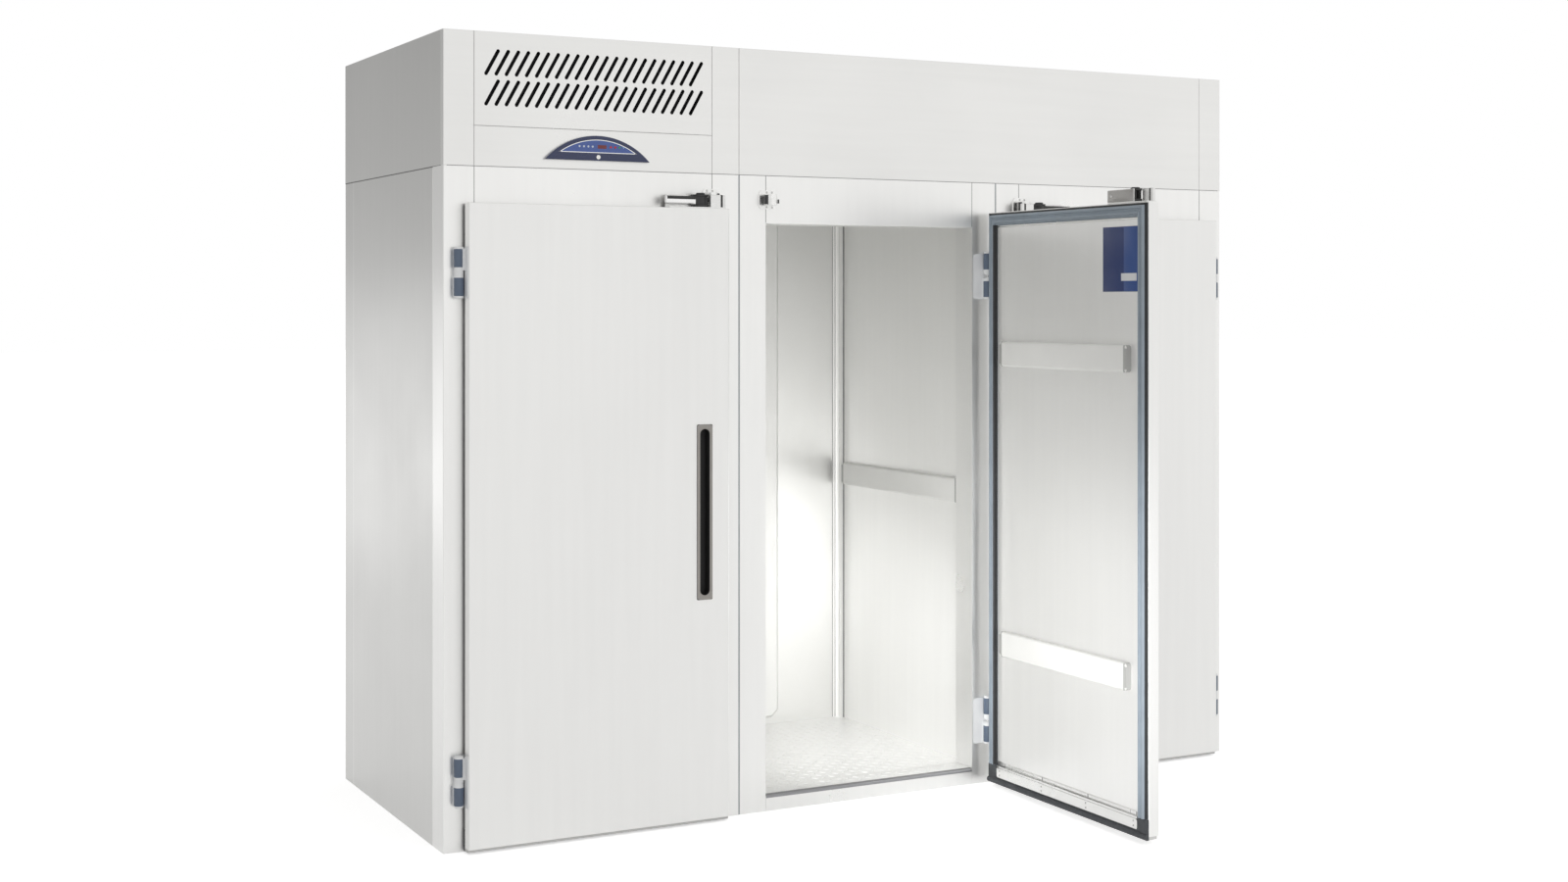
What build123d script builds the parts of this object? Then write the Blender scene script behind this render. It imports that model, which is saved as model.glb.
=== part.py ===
from build123d import *
from math import atan2, cos, degrees, pi, radians, sin
import os

# Three-door roll-in refrigerator: three cold bays side by side under one plant deck.
# Millimetres. The origin is the middle of the footprint, on the floor. +X runs along
# the row of doors, +Y into the cabinet and +Z up.

# Cabinet
module = 920
bays = 3
width = bays * module
depth = 1005
height = 2300
cold_height = 1920
seam = 0.6

# Insulated panels and the openings through the roof
wall = 60
back_wall = 95
roof = 60
floor_height = 48
cove = 35
edge_break = 1.2
fan_tip = 104
fan_hole = fan_tip + 6
duct_slot_length = 230
duct_slot_width = 20
duct_slot_inset = 22

# Front frame
post = 90
frame_depth = 95
opening_top = 1775
sill_height = 50
frame_round = 4
lintel_round = 2
sill_break = 5

# Top housing, folded from sheet
tray_depth = 22
sheet = 2
control_top = 2034
tray_break = 1
rear_rail_height = 60
rear_rail_flange = 40

# Grille
slots_per_row = 22
slot_pitch = 30.2
slot_length = 84
slot_width = 10.5
slot_nose = 3.2
slot_slant = 61
slot_rows = (2128.5, 2214)

# Controller
control_chord = 325
control_rise = 72
control_base = 1946
control_thickness = 14
control_round = 4
lens_inset = 11
lens_lip = 22
lens_depth = 1.5
pocket_depth = 8
display_offset = 12
display_size = (30, 13)
key_radius = 5
key_gap = 0.4
key_line = 40
key_offsets = {"key_up": (39, 90), "key_down": (53, -90)}
key_break = 0.6
lock_height = 10
lock_radius = 6.5
lock_long = 9
lock_break = 0.8
key_slot = (7, 1.6)
key_slot_depth = 3

# Doors
overlap = 32
door_thickness = 37
gasket_gap = 15
door_bottom = 14
door_top = 1815
door_corner = 3
gasket_width = 38
gasket_inset = 3
gasket_clearance = 0.3
gasket_foot = 4
gasket_neck = 6
gasket_lip = 9
gasket_slope = 5
groove_top = 5
groove_floor = 3
groove_depth = 4

# Recessed handle
handle_height = 516
handle_width = 50
handle_centre = 920
handle_inset = 81
recess_width = 30
recess_depth = 28
handle_wall = 2
handle_end = 13
handle_round = 4
handle_break = 0.8

# Bumper rails, on the doors and on the walls, and the doors' bottom seal
rail_tall = 78
rail_thick = 20
rail_round = 7
rail_corner = 10
rail_gap = 10
rail_inset = 80
door_rail_heights = (1367, 455)
wall_rail_height = 927
sweep_bottom = 4
sweep_top = 62
sweep_thick = 5
sweep_back = 8
sweep_rise = 2
toe_gap = 4
strip_bottom = 26
strip_top = 56
strip_thick = 2.5
strip_end = 8
strip_break = 0.6

# Cam-lift hinges: the knuckles meet on a slanted face, so the door climbs as it opens
hinge_out = 18
hinge_forward = 16
hinge_heights = (200, 1620)
hinge_half = 72
knuckle_radius = 13
knuckle_break = 2
pin_radius = 5
pin_fit = 0.05
pin_cover = 8
pin_room = 4
pin_break = 1
door_lift = 8
lift_angle = 90
cam_gap = 0.3
leaf_width = 58
leaf_thick = 4
leaf_middle = 16
leaf_corner = 6
plate_thick = 3
plate_corner = 5
plate_margin = 4
web_thick = 7
web_inset = 5
neck_half = 9
neck_foot = 2
bite = 1

# Latch
latch_height = 40
latch_arm = 112
latch_pivot = 87
latch_inset = 17
latch_pin = 4
latch_fit = 0.06
latch_plate = 3
hub_radius = 14
tongue = 22
tongue_half = 4
pull_break = 3
lever_levels = (11.6, 34.4)
cheek_levels = ((3, 11), (35, 40))
cheek_x = (-24, 26)
cheek_foot = 16
bracket_reach = 105
bracket_end = 18
bracket_round = 6
guard_x = (27, 77)
guard_depth = 12
guard_break = 2

# Strike on the frame
strike_gap = 3.5
strike_plate_x = (24, 78)
strike_plate_tall = 56
strike_plate_thick = 4
strike_block_x = (30, 60)
strike_block_tall = 34
strike_nose = 7
strike_roller_x = 63
roller_radius = 6
roller_back = 14
roller_end = 2
stop_x = (-6, 1)
stop_y = (7, 16)
stop_z = (6, 18)

# Air ducts
duct_width = 270
duct_bottom = 75
duct_depth = 30
duct_corner = 25
duct_break = 9

# Plant deck
deck_end_gap = 40
deck_joint_gap = 20
deck_front_gap = 34
deck_long = 340
tray_wall = 2
tray_height = 30
tray_round = 1
coil_end_gap = 20
coil_front_gap = 10
coil_thick = 60
coil_tall = 300
condenser_fins = 40
evaporator_fins = 13
fin_share = 0.55
fin_end = 15
fin_margin = 12
fin_slot_depth = 14
return_bends = 6
return_bend_pitch = 44
return_bend_size = (9, 34)
return_bend_cut = 3
return_bend_out = 10
shroud_depth = 40
spoke_angles = (30, 150, 270)
spoke_width = 12
spoke_thick = 4
motor_radius = 38
motor_long = 62
motor_break = 6
shaft_gap = 8
compressor_offset = 170
compressor_inset = 100
shell_radius = 92
shell_crown = ((0, 110), (14, 140), (42, 164), (70, 178))
shell_foot = 20
foot_height = 16
foot_radius = 11
foot_spacing = (180, 130)
base_plate = (220, 170)
base_thick = 6
foot_bite = 2
terminal_box = (70, 60, 50)
terminal_out = 24
terminal_level = 70
port_offset = 40
port_radius = 13
port_root = 100
port_level = 210

# Fans
fan_blades = 5
fan_hub = 28
fan_hub_long = 22
hub_break = 5
fan_step = 3
blade_thick = 2.4
blade_pitch = 24
blade_gap = 4
blade_root = (6, 13)
blade_tip = ((-26, -34), (-6, -32), (0, -14), (0, 20), (-10, 30))
shaft_radius = 4
shaft_fit = 0.06

# Evaporators on the roof
bay_fan_y = 30
box_width = 560
box_front = -115
box_back = 440
box_height = 200
box_wall = 20
box_corner = 10
box_break = 3
evaporator_y = (170, 230)
evaporator_height = 150
evaporator_gap = 20
evaporator_motor = 32
motor_rise = 15

# Refrigerant lines: radius, height of the header, its place along Y, and its stubs' offset
suction_line = (9, 2170, -60, 60)
liquid_line = (5, 2200, -20, 110)
pipe_bend = 22
header_end = 20
header_swell = 2

# Values that follow from the ones above
front = -depth / 2
back = depth / 2
half = width / 2
centres = [module * (i - (bays - 1) / 2) for i in range(bays)]
opening = module - 2 * post
bay_width = module - 2 * wall
wall_front = front + frame_depth
wall_back = back - back_wall
ceiling = cold_height - roof
door_width = opening + 2 * overlap
axis_y = front - hinge_forward
face_y = hinge_forward - gasket_gap
skin_y = face_y - door_thickness
door_left = hinge_out
door_right = hinge_out + door_width
lift_per_radian = door_lift / radians(lift_angle)
cam_slope = degrees(atan2(lift_per_radian, knuckle_radius))
cam_rise = lift_per_radian
web_y = (face_y - web_inset - web_thick, face_y - web_inset)
pin_foot = -hinge_half + pin_cover
pivot_x = door_right - latch_pivot
latch_y = skin_y + latch_inset
case_x = (pivot_x + cheek_x[0], pivot_x + cheek_x[1])
bracket_x = pivot_x - bracket_reach
corner = centres[0]
written = []
os.makedirs("parts", exist_ok=True)


class Door:
    """Where one door hangs: its bay, the side of its hinges and how far it stands open."""

    def __init__(self, number, hand, angle):
        self.number = number
        self.hand = hand
        reach = opening / 2 + overlap + hinge_out
        axis_x = centres[number - 1] - hand * reach
        climb = lift_per_radian * radians(angle)
        self.axis_x = axis_x
        self.hinge_line = Location((axis_x, axis_y, 0))
        self.place = Location((axis_x, axis_y, climb), (0, 0, -hand * angle))
        self.turned = Location((axis_x, axis_y, 0), (0, 0, -hand * angle))


doors = [Door(1, 1, 0), Door(2, -1, 90), Door(3, -1, 0)]


def save(piece, name):
    """Label a finished piece and write it to its own file."""
    piece.label = name
    export_step(piece, f"parts/{name}.step")
    written.append(name)


def block(x, y, z, mode=Mode.ADD):
    """A plain block between two values on each axis, inside the part being built."""
    with Locations((sum(x) / 2, sum(y) / 2, sum(z) / 2)):
        Box(x[1] - x[0], y[1] - y[0], z[1] - z[0], mode=mode)


def hang(shape, door, location):
    """A door piece made for a left-hand door, mirrored if need be and put in its place."""
    with BuildPart() as piece:
        add(shape)
        if door.hand < 0:
            mirror(about=Plane.YZ, mode=Mode.REPLACE)
    with BuildPart() as placed:
        with Locations(location):
            add(piece.part)
    return placed


def cut_cornered(wide, tall, cut, spots=((0, 0),)):
    """Rectangles with their corners cut off, one at each spot."""
    with BuildSketch() as outline:
        with Locations(*spots):
            Rectangle(wide, tall)
        chamfer(outline.vertices(), cut)
    return outline.sketch


# Insulated panels


def wall_panel(inner, outer):
    """One upright panel from the frame to the back, with a cove at its rear inner corner."""
    out = 1 if outer > inner else -1
    turn = (inner - out * cove, wall_back - cove)
    with BuildPart() as panel:
        with BuildSketch():
            with BuildLine():
                Polyline(
                    (inner, wall_back - cove),
                    (inner, wall_front),
                    (outer, wall_front),
                    (outer, wall_back),
                    (inner - out * cove, wall_back),
                )
                ThreePointArc(
                    (inner - out * cove, wall_back),
                    (turn[0] + out * cove * cos(pi / 4), turn[1] + cove * sin(pi / 4)),
                    (inner, wall_back - cove),
                )
            make_face()
        extrude(amount=cold_height)
    return panel.part


def group(solids):
    """Several separate solids of one kind, kept apart, as one piece."""
    return Compound([s for shape in solids for s in shape.solids()])


inner_left = corner - bay_width / 2
side_panels = group(
    [wall_panel(inner_left, -half), wall_panel(-inner_left, half)]
)
save(side_panels, "side_panels")

joints_x = [(a + b) / 2 for a, b in zip(centres, centres[1:])]
partitions = group(
    [
        wall_panel(x + side * wall, x + side * seam / 2)
        for x in joints_x
        for side in (-1, 1)
    ]
)
save(partitions, "partitions")

with BuildPart() as back_panels:
    with BuildSketch():
        with Locations(*[(x, (wall_back + back) / 2) for x in centres]):
            Rectangle(module - seam, back_wall)
    extrude(amount=cold_height)
    upright = back_panels.edges().filter_by(Axis.Z)
    chamfer(upright.group_by(Axis.Y)[-1], edge_break)
save(back_panels.part, "back_panels")


def bay_plan():
    """Plan of the space between two walls, rounded where the rear coves are."""
    with BuildSketch() as plan:
        with Locations((0, (wall_front + wall_back) / 2)):
            Rectangle(bay_width, wall_back - wall_front)
        fillet(plan.vertices().group_by(Axis.Y)[-1], cove)
    return plan.sketch


with BuildPart() as roof_panels:
    with BuildSketch(Plane.XY.offset(ceiling)):
        with Locations(*[(x, 0) for x in centres]):
            add(bay_plan())
        with Locations(*[(x, bay_fan_y) for x in centres]):
            Circle(fan_hole, mode=Mode.SUBTRACT)
        with Locations(*[(x, wall_back - duct_slot_inset) for x in centres]):
            SlotOverall(duct_slot_length, duct_slot_width, mode=Mode.SUBTRACT)
    extrude(amount=roof)
save(roof_panels.part, "roof_panels")

with BuildPart() as bay_floors:
    with BuildSketch():
        with Locations(*[(x, 0) for x in centres]):
            add(bay_plan())
    extrude(amount=floor_height)
save(bay_floors.part, "bay_floors")

# Front frame: two posts, a lintel and a sill to each bay, with hairline joints between them

post_x = [x + side * (module - post) / 2 for x in centres for side in (-1, 1)]
with BuildPart() as front_frame:
    with BuildSketch() as posts:
        with Locations(*[(x, front + frame_depth / 2) for x in post_x]):
            Rectangle(post - seam, frame_depth)
        outer = posts.vertices().group_by(Axis.Y)[0].group_by(Axis.X)
        fillet([outer[0][0], outer[-1][0]], frame_round)
    extrude(amount=cold_height)
    with BuildSketch(Plane.XY.offset(opening_top)):
        with Locations(*[(x, front + frame_depth / 2) for x in centres]):
            Rectangle(opening - seam, frame_depth)
    extrude(amount=cold_height - opening_top)
    with BuildSketch():
        with Locations(*[(x, front + frame_depth / 2) for x in centres]):
            Rectangle(opening - seam, frame_depth)
    extrude(amount=sill_height)
    sill_edges = front_frame.edges().filter_by(Axis.X).group_by(Axis.Y)[0]
    chamfer(sill_edges.filter_by_position(Axis.Z, sill_height - 1, sill_height + 1), sill_break)
    lintel_edges = front_frame.edges().filter_by(Axis.X).group_by(Axis.Y)[0]
    lower_edges = lintel_edges.filter_by_position(Axis.Z, opening_top - 1, opening_top + 1)
    fillet(lower_edges, lintel_round)
    with BuildSketch(Plane.XZ.offset(-front)):
        for door in doors:
            leaf_x = door.axis_x + door.hand * leaf_middle
            spots = [(leaf_x, hinge_z) for hinge_z in hinge_heights]
            add(cut_cornered(leaf_width, 2 * hinge_half, leaf_corner, spots))
    extrude(amount=-leaf_thick, mode=Mode.SUBTRACT)
save(front_frame.part, "front_frame")

# Duct covers: tall shallow trays on the back walls, open at the back

duct_middle = (duct_bottom + ceiling) / 2
duct_tall = ceiling - duct_bottom


def duct_form(inset):
    """The covers' form with cut corners and a broken front edge, drawn in by the inset."""
    wide, tall = duct_width - 2 * inset, duct_tall - 2 * inset
    with BuildPart() as form:
        with BuildSketch(Plane.XZ.offset(-wall_back)):
            add(cut_cornered(wide, tall, duct_corner, [(x, duct_middle) for x in centres]))
        extrude(amount=duct_depth - inset)
        chamfer(form.faces().group_by(Axis.Y)[0].edges(), duct_break)
    return form.part


with BuildPart() as duct_covers:
    add(duct_form(0))
    add(duct_form(sheet), mode=Mode.SUBTRACT)
save(duct_covers.part, "duct_covers")


def bumper_rail(length):
    """A bumper rail lying along X on the plane y = 0, standing out towards -Y."""
    with BuildPart() as rail:
        with BuildSketch(Plane.YZ.offset(-length / 2)) as section:
            Rectangle(rail_thick, rail_tall, align=(Align.MAX, Align.CENTER))
            fillet(section.vertices().group_by(Axis.X)[0], rail_round)
        extrude(amount=length)
        with BuildSketch(Plane.XZ):
            RectangleRounded(length, rail_tall, rail_corner)
        extrude(amount=rail_thick, mode=Mode.INTERSECT)
    return rail.part


wall_rail_length = wall_back - wall_front - cove - 2 * rail_gap
wall_rail_middle = wall_front + rail_gap + wall_rail_length / 2
wall_bumpers = []
for bay_x in centres:
    for side in (-1, 1):
        seat = Location(
            (bay_x + side * bay_width / 2, wall_rail_middle, wall_rail_height),
            (0, 0, -side * 90),
        )
        with BuildPart() as wall_rail:
            with Locations(seat):
                add(bumper_rail(wall_rail_length))
        wall_bumpers.append(wall_rail.part)
save(group(wall_bumpers), "wall_bumpers")

# Top housing: folded trays round the plant deck


def fascia_tray(x, z):
    """A folded sheet-metal tray between two values of X and Z, open at the back."""
    middle = (sum(x) / 2, sum(z) / 2)
    wide, tall = x[1] - x[0] - seam, z[1] - z[0]
    with BuildPart() as tray:
        with BuildSketch(Plane.XZ.offset(-front)):
            with Locations(middle):
                Rectangle(wide, tall)
        extrude(amount=-tray_depth)
        chamfer(tray.faces().sort_by(Axis.Y)[0].edges(), tray_break)
        with BuildSketch(Plane.XZ.offset(-front - sheet)):
            with Locations(middle):
                Rectangle(wide - 2 * sheet, tall - 2 * sheet)
        extrude(amount=-tray_depth, mode=Mode.SUBTRACT)
    return tray.part


joint_x = corner + module / 2
fascia_posts = group(
    [
        fascia_tray((-half, -half + post), (cold_height, height)),
        fascia_tray((joint_x - post, joint_x), (cold_height, height)),
        fascia_tray((half - post, half), (cold_height, height)),
    ]
)
save(fascia_posts, "fascia_posts")

grille_x = (-half + post, joint_x - post)
with BuildPart() as grille_panel:
    add(fascia_tray(grille_x, (control_top + seam, height)))
    for row_height in slot_rows:
        with BuildSketch(Plane.XZ.offset(-front)):
            with Locations((corner, row_height)):
                with GridLocations(slot_pitch, 1, slots_per_row, 1):
                    add(cut_cornered(slot_length, slot_width, slot_nose), rotation=slot_slant)
        extrude(amount=-2 * sheet, mode=Mode.SUBTRACT)
save(grille_panel.part, "grille_panel")

save(fascia_tray(grille_x, (cold_height, control_top)), "control_panel")
save(fascia_tray((joint_x, half - post), (cold_height, height)), "fascia_panel")


def side_cover(side):
    """The housing's end sheet, folded inwards along its edges."""
    long, tall = back - front - tray_depth, height - cold_height
    middle = ((front + tray_depth + back) / 2, (cold_height + height) / 2)
    with BuildPart() as cover:
        with BuildSketch(Plane.YZ.offset(side * half)):
            with Locations(middle):
                Rectangle(long, tall)
        extrude(amount=-side * tray_depth)
        with BuildSketch(Plane.YZ.offset(side * (half - sheet))):
            with Locations(middle):
                Rectangle(long - 2 * sheet, tall - 2 * sheet)
        extrude(amount=-side * tray_depth, mode=Mode.SUBTRACT)
    return cover.part


with BuildPart() as rear_rail:
    with BuildSketch(Plane.YZ.offset(-half + tray_depth)):
        with BuildLine():
            Polyline(
                (back, height - rear_rail_height),
                (back, height),
                (back - rear_rail_flange, height),
                (back - rear_rail_flange, height - sheet),
                (back - sheet, height - sheet),
                (back - sheet, height - rear_rail_height),
                close=True,
            )
        make_face()
    extrude(amount=width - 2 * tray_depth)
save(group([side_cover(-1), side_cover(1), rear_rail.part]), "top_covers")

# Controller: a half-moon housing on the control panel

moon_radius = (control_chord**2 / 4 + control_rise**2) / (2 * control_rise)
moon_end = control_chord / 2
lens_base = control_base + lens_lip
lens_radius = moon_radius - lens_inset
lens_centre = control_base + control_rise - moon_radius
lens_end = (lens_radius**2 - (lens_base - lens_centre) ** 2) ** 0.5
key_height = control_base + key_line
key_back = control_thickness - pocket_depth + 2
lock_back = key_back - 1.5


def arrow_key(offset_x, heading, grow):
    """A small three-sided key face, grown by the clearance for its hole."""
    with Locations((corner + offset_x, key_height)):
        RegularPolygon(key_radius + grow, 3, rotation=heading)


with BuildPart() as controller_housing:
    with BuildSketch(Plane.XZ.offset(-front)):
        with BuildLine():
            Line((corner - moon_end, control_base), (corner + moon_end, control_base))
            ThreePointArc(
                (corner - moon_end, control_base),
                (corner, control_base + control_rise),
                (corner + moon_end, control_base),
            )
        make_face()
    extrude(amount=control_thickness)
    fillet(controller_housing.faces().sort_by(Axis.Y)[0].edges(), control_round)
    with BuildSketch(Plane.XZ.offset(-front + control_thickness)):
        with BuildLine():
            Line((corner - lens_end, lens_base), (corner + lens_end, lens_base))
            ThreePointArc(
                (corner - lens_end, lens_base),
                (corner, lens_centre + lens_radius),
                (corner + lens_end, lens_base),
            )
        make_face()
    extrude(amount=-lens_depth, mode=Mode.SUBTRACT)
    with BuildSketch(Plane.XZ.offset(-front + control_thickness)):
        with Locations((corner + display_offset, key_height)):
            Rectangle(*display_size)
        for key_x, heading in key_offsets.values():
            arrow_key(key_x, heading, 2 * key_gap)
        with Locations((corner, control_base + lock_height)):
            Circle(lock_radius + key_gap)
    extrude(amount=-pocket_depth, mode=Mode.SUBTRACT)
save(controller_housing.part, "controller_housing")

for key_name, (key_x, heading) in key_offsets.items():
    with BuildPart() as arrow:
        with BuildSketch(Plane.XZ.offset(-front + key_back)):
            arrow_key(key_x, heading, 0)
        extrude(amount=control_thickness - key_back)
        chamfer(arrow.faces().sort_by(Axis.Y)[0].edges(), key_break)
    save(arrow.part, key_name)

with BuildPart() as key_lock:
    with BuildSketch(Plane.XZ.offset(-front + lock_back)):
        with Locations((corner, control_base + lock_height)):
            Circle(lock_radius)
    extrude(amount=lock_long)
    chamfer(key_lock.faces().sort_by(Axis.Y)[0].edges(), lock_break)
    with BuildSketch(Plane.XZ.offset(-front + lock_back + lock_long)):
        with Locations((corner, control_base + lock_height)):
            SlotOverall(*key_slot, rotation=90)
    extrude(amount=-key_slot_depth, mode=Mode.SUBTRACT)
save(key_lock.part, "key_lock")

# Condensing unit on the deck above bay 1

deck_x = (-half + deck_end_gap, joint_x - deck_joint_gap)
deck_y = (front + deck_front_gap, front + deck_front_gap + deck_long)
coil_front = deck_y[0] + coil_front_gap
coil_x = (deck_x[0] + coil_end_gap, deck_x[1] - coil_end_gap)
coil_y = (coil_front, coil_front + coil_thick)
coil_z = (cold_height + tray_wall, cold_height + coil_tall)
fan_x = sum(coil_x) / 2
fan_y = coil_y[1] + shroud_depth / 2
fan_z = sum(coil_z) / 2

with BuildPart() as plant_tray:
    block(deck_x, deck_y, (cold_height, cold_height + tray_height))
    block(
        (deck_x[0] + tray_wall, deck_x[1] - tray_wall),
        (deck_y[0] + tray_wall, deck_y[1] - tray_wall),
        (cold_height + tray_wall, cold_height + tray_height),
        mode=Mode.SUBTRACT,
    )
    fillet(plant_tray.edges().filter_by(Axis.Z).sort_by(SortBy.DISTANCE)[-4:], tray_round)
save(plant_tray.part, "plant_tray")

fin_pitch = (coil_x[1] - coil_x[0] - 2 * fin_end) / condenser_fins
with BuildPart() as condenser_coil:
    block(coil_x, coil_y, coil_z)
    with BuildSketch(Plane.XZ.offset(-coil_y[0])):
        with Locations((fan_x, fan_z)):
            with GridLocations(fin_pitch, 1, condenser_fins, 1):
                Rectangle(fin_pitch * fin_share, coil_z[1] - coil_z[0] - 2 * fin_margin)
    extrude(amount=-fin_slot_depth, mode=Mode.SUBTRACT)
    with BuildSketch(Plane.YZ.offset(coil_x[1])):
        with Locations((sum(coil_y) / 2, fan_z)):
            with GridLocations(1, return_bend_pitch, 1, return_bends):
                add(cut_cornered(*return_bend_size, return_bend_cut))
    extrude(amount=return_bend_out)
save(condenser_coil.part, "condenser_coil")

with BuildPart() as fan_shroud:
    block(coil_x, (coil_y[1], coil_y[1] + sheet), coil_z)
    with BuildSketch(Plane.XZ.offset(-coil_y[1])):
        with Locations((fan_x, fan_z)):
            Circle(fan_hole + sheet)
    extrude(amount=-shroud_depth)
    with BuildSketch(Plane.XZ.offset(-coil_y[1])):
        with Locations((fan_x, fan_z)):
            Circle(fan_hole)
    extrude(amount=-shroud_depth, mode=Mode.SUBTRACT)
    motor_y = coil_y[1] + shroud_depth
    with BuildSketch(Plane.XZ.offset(-motor_y + spoke_thick)):
        with Locations((fan_x, fan_z)):
            for spoke in spoke_angles:
                Rectangle(2 * fan_hole + spoke_width, spoke_width, rotation=spoke)
            Circle(motor_radius)
        with Locations((fan_x, fan_z)):
            Circle(fan_hole + sheet, mode=Mode.INTERSECT)
    extrude(amount=-spoke_thick)
    with BuildSketch(Plane.XZ.offset(-motor_y)):
        with Locations((fan_x, fan_z)):
            Circle(motor_radius)
    extrude(amount=-motor_long)
    chamfer(fan_shroud.faces().sort_by(Axis.Y)[-1].edges(), motor_break)
    with BuildSketch(Plane.XZ.offset(-motor_y)):
        with Locations((fan_x, fan_z)):
            Circle(shaft_radius)
    extrude(amount=shroud_depth - shaft_gap)
save(fan_shroud.part, "fan_shroud")


def fan(centre):
    """A pressed fan about Z at the origin: pitched flat blades on a bored hub."""
    reach = fan_tip - blade_gap
    root_x, root_half = fan_hub - blade_root[0], blade_root[1]
    with BuildPart() as blade:
        with BuildSketch():
            with BuildLine():
                Polyline(
                    (root_x, -root_half),
                    *[(reach + x, y) for x, y in blade_tip],
                    (root_x, root_half),
                    close=True,
                )
            make_face()
        extrude(amount=blade_thick / 2, both=True)
    with BuildPart() as spinner:
        with BuildSketch(Plane.XY.offset(-fan_hub_long / 2)):
            Circle(fan_hub)
        extrude(amount=fan_hub_long)
        chamfer(spinner.faces().sort_by(Axis.Z)[0].edges(), hub_break)
        with PolarLocations(0, fan_blades):
            with Locations(Location((0, 0, 0), (blade_pitch, 0, 0))):
                add(blade.part)
        with BuildSketch(Plane.XY.offset(-fan_hub_long / 2)):
            Circle(shaft_radius + shaft_fit)
        extrude(amount=fan_hub_long, mode=Mode.SUBTRACT)
    with BuildPart() as placed:
        with Locations(centre):
            add(spinner.part)
    return placed.part


condenser_fan = fan(Location((fan_x, fan_y - fan_step, fan_z), (90, 0, 0)))
save(condenser_fan, "condenser_fan")

compressor_x = deck_x[1] - compressor_offset
compressor_y = deck_y[1] - compressor_inset
foot_top = cold_height + tray_wall + foot_height
port_z = cold_height + port_level
with BuildPart() as compressor:
    with BuildSketch(Plane.XZ.offset(-compressor_y)):
        with BuildLine():
            crown = [
                (compressor_x + shell_radius - inwards, foot_top + up)
                for inwards, up in shell_crown
            ]
            Polyline(
                (compressor_x, foot_top),
                (compressor_x + shell_radius - shell_foot, foot_top),
                (compressor_x + shell_radius, foot_top + shell_foot),
                *crown,
                (compressor_x, crown[-1][1]),
                close=True,
            )
        make_face()
    revolve(axis=Axis((compressor_x, compressor_y, 0), (0, 0, 1)))
    with BuildSketch(Plane.XY.offset(foot_top - base_thick + foot_bite)):
        with Locations((compressor_x, compressor_y)):
            Rectangle(*base_plate)
    extrude(amount=base_thick)
    with BuildSketch(Plane.XY.offset(cold_height + tray_wall)):
        with Locations((compressor_x, compressor_y)):
            with GridLocations(*foot_spacing, 2, 2):
                Circle(foot_radius)
    extrude(amount=foot_height - base_thick + foot_bite)
    with BuildSketch(Plane.XZ.offset(-compressor_y + shell_radius + terminal_out)):
        with Locations((compressor_x, foot_top + terminal_level)):
            Rectangle(*terminal_box[:2])
    extrude(amount=-terminal_box[2])
    with BuildSketch(Plane.XY.offset(foot_top + port_root)):
        with Locations((compressor_x, compressor_y)):
            with GridLocations(2 * port_offset, 1, 2, 1):
                Circle(port_radius)
    extrude(amount=port_z - foot_top - port_root)
save(compressor.part, "compressor")

# Evaporator boxes on the roof, with their coils, motors and fans

box_y = (box_front, box_back)
box_top = cold_height + box_height
fan_height = ceiling + roof / 2
motor_foot = fan_height + motor_rise
with BuildPart() as evaporator_boxes:
    with BuildSketch(Plane.XY.offset(cold_height)):
        with Locations(*[(x, sum(box_y) / 2) for x in centres]):
            Rectangle(box_width, box_back - box_front)
    extrude(amount=box_height)
    chamfer(evaporator_boxes.edges().filter_by(Axis.Z), box_corner)
    chamfer(evaporator_boxes.faces().group_by(Axis.Z)[-1].edges(), box_break)
    with BuildSketch(Plane.XY.offset(cold_height)):
        with Locations(*[(x, sum(box_y) / 2) for x in centres]):
            Rectangle(box_width - 2 * box_wall, box_back - box_front - 2 * box_wall)
    extrude(amount=box_height - box_wall, mode=Mode.SUBTRACT)
    with BuildSketch(Plane.XY.offset(motor_foot)):
        with Locations(*[(x, bay_fan_y) for x in centres]):
            Circle(evaporator_motor)
    extrude(amount=box_top - box_wall - motor_foot)
    with BuildSketch(Plane.XY.offset(fan_height - shaft_gap)):
        with Locations(*[(x, bay_fan_y) for x in centres]):
            Circle(shaft_radius)
    extrude(amount=motor_foot - fan_height + shaft_gap)
save(evaporator_boxes.part, "evaporator_boxes")

evaporator_half = box_width / 2 - box_wall - evaporator_gap
evaporator_pitch = (evaporator_half - evaporator_gap) / evaporator_fins
with BuildPart() as evaporator_coils:
    for bay_x in centres:
        x = (bay_x - evaporator_half, bay_x + evaporator_half)
        block(x, evaporator_y, (cold_height, cold_height + evaporator_height))
    with BuildSketch(Plane.XZ.offset(-evaporator_y[0])):
        for bay_x in centres:
            with Locations((bay_x, cold_height + evaporator_height / 2)):
                with GridLocations(2 * evaporator_pitch, 1, evaporator_fins, 1):
                    Rectangle(evaporator_pitch, evaporator_height - 2 * fin_margin)
    extrude(amount=-fin_slot_depth, mode=Mode.SUBTRACT)
save(evaporator_coils.part, "evaporator_coils")

for number, bay_x in enumerate(centres, 1):
    bay_fan = fan(Location((bay_x, bay_fan_y, fan_height)))
    save(bay_fan, f"evaporator_fan_{number}")

# Refrigerant lines from the compressor to a stub on each evaporator box


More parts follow.
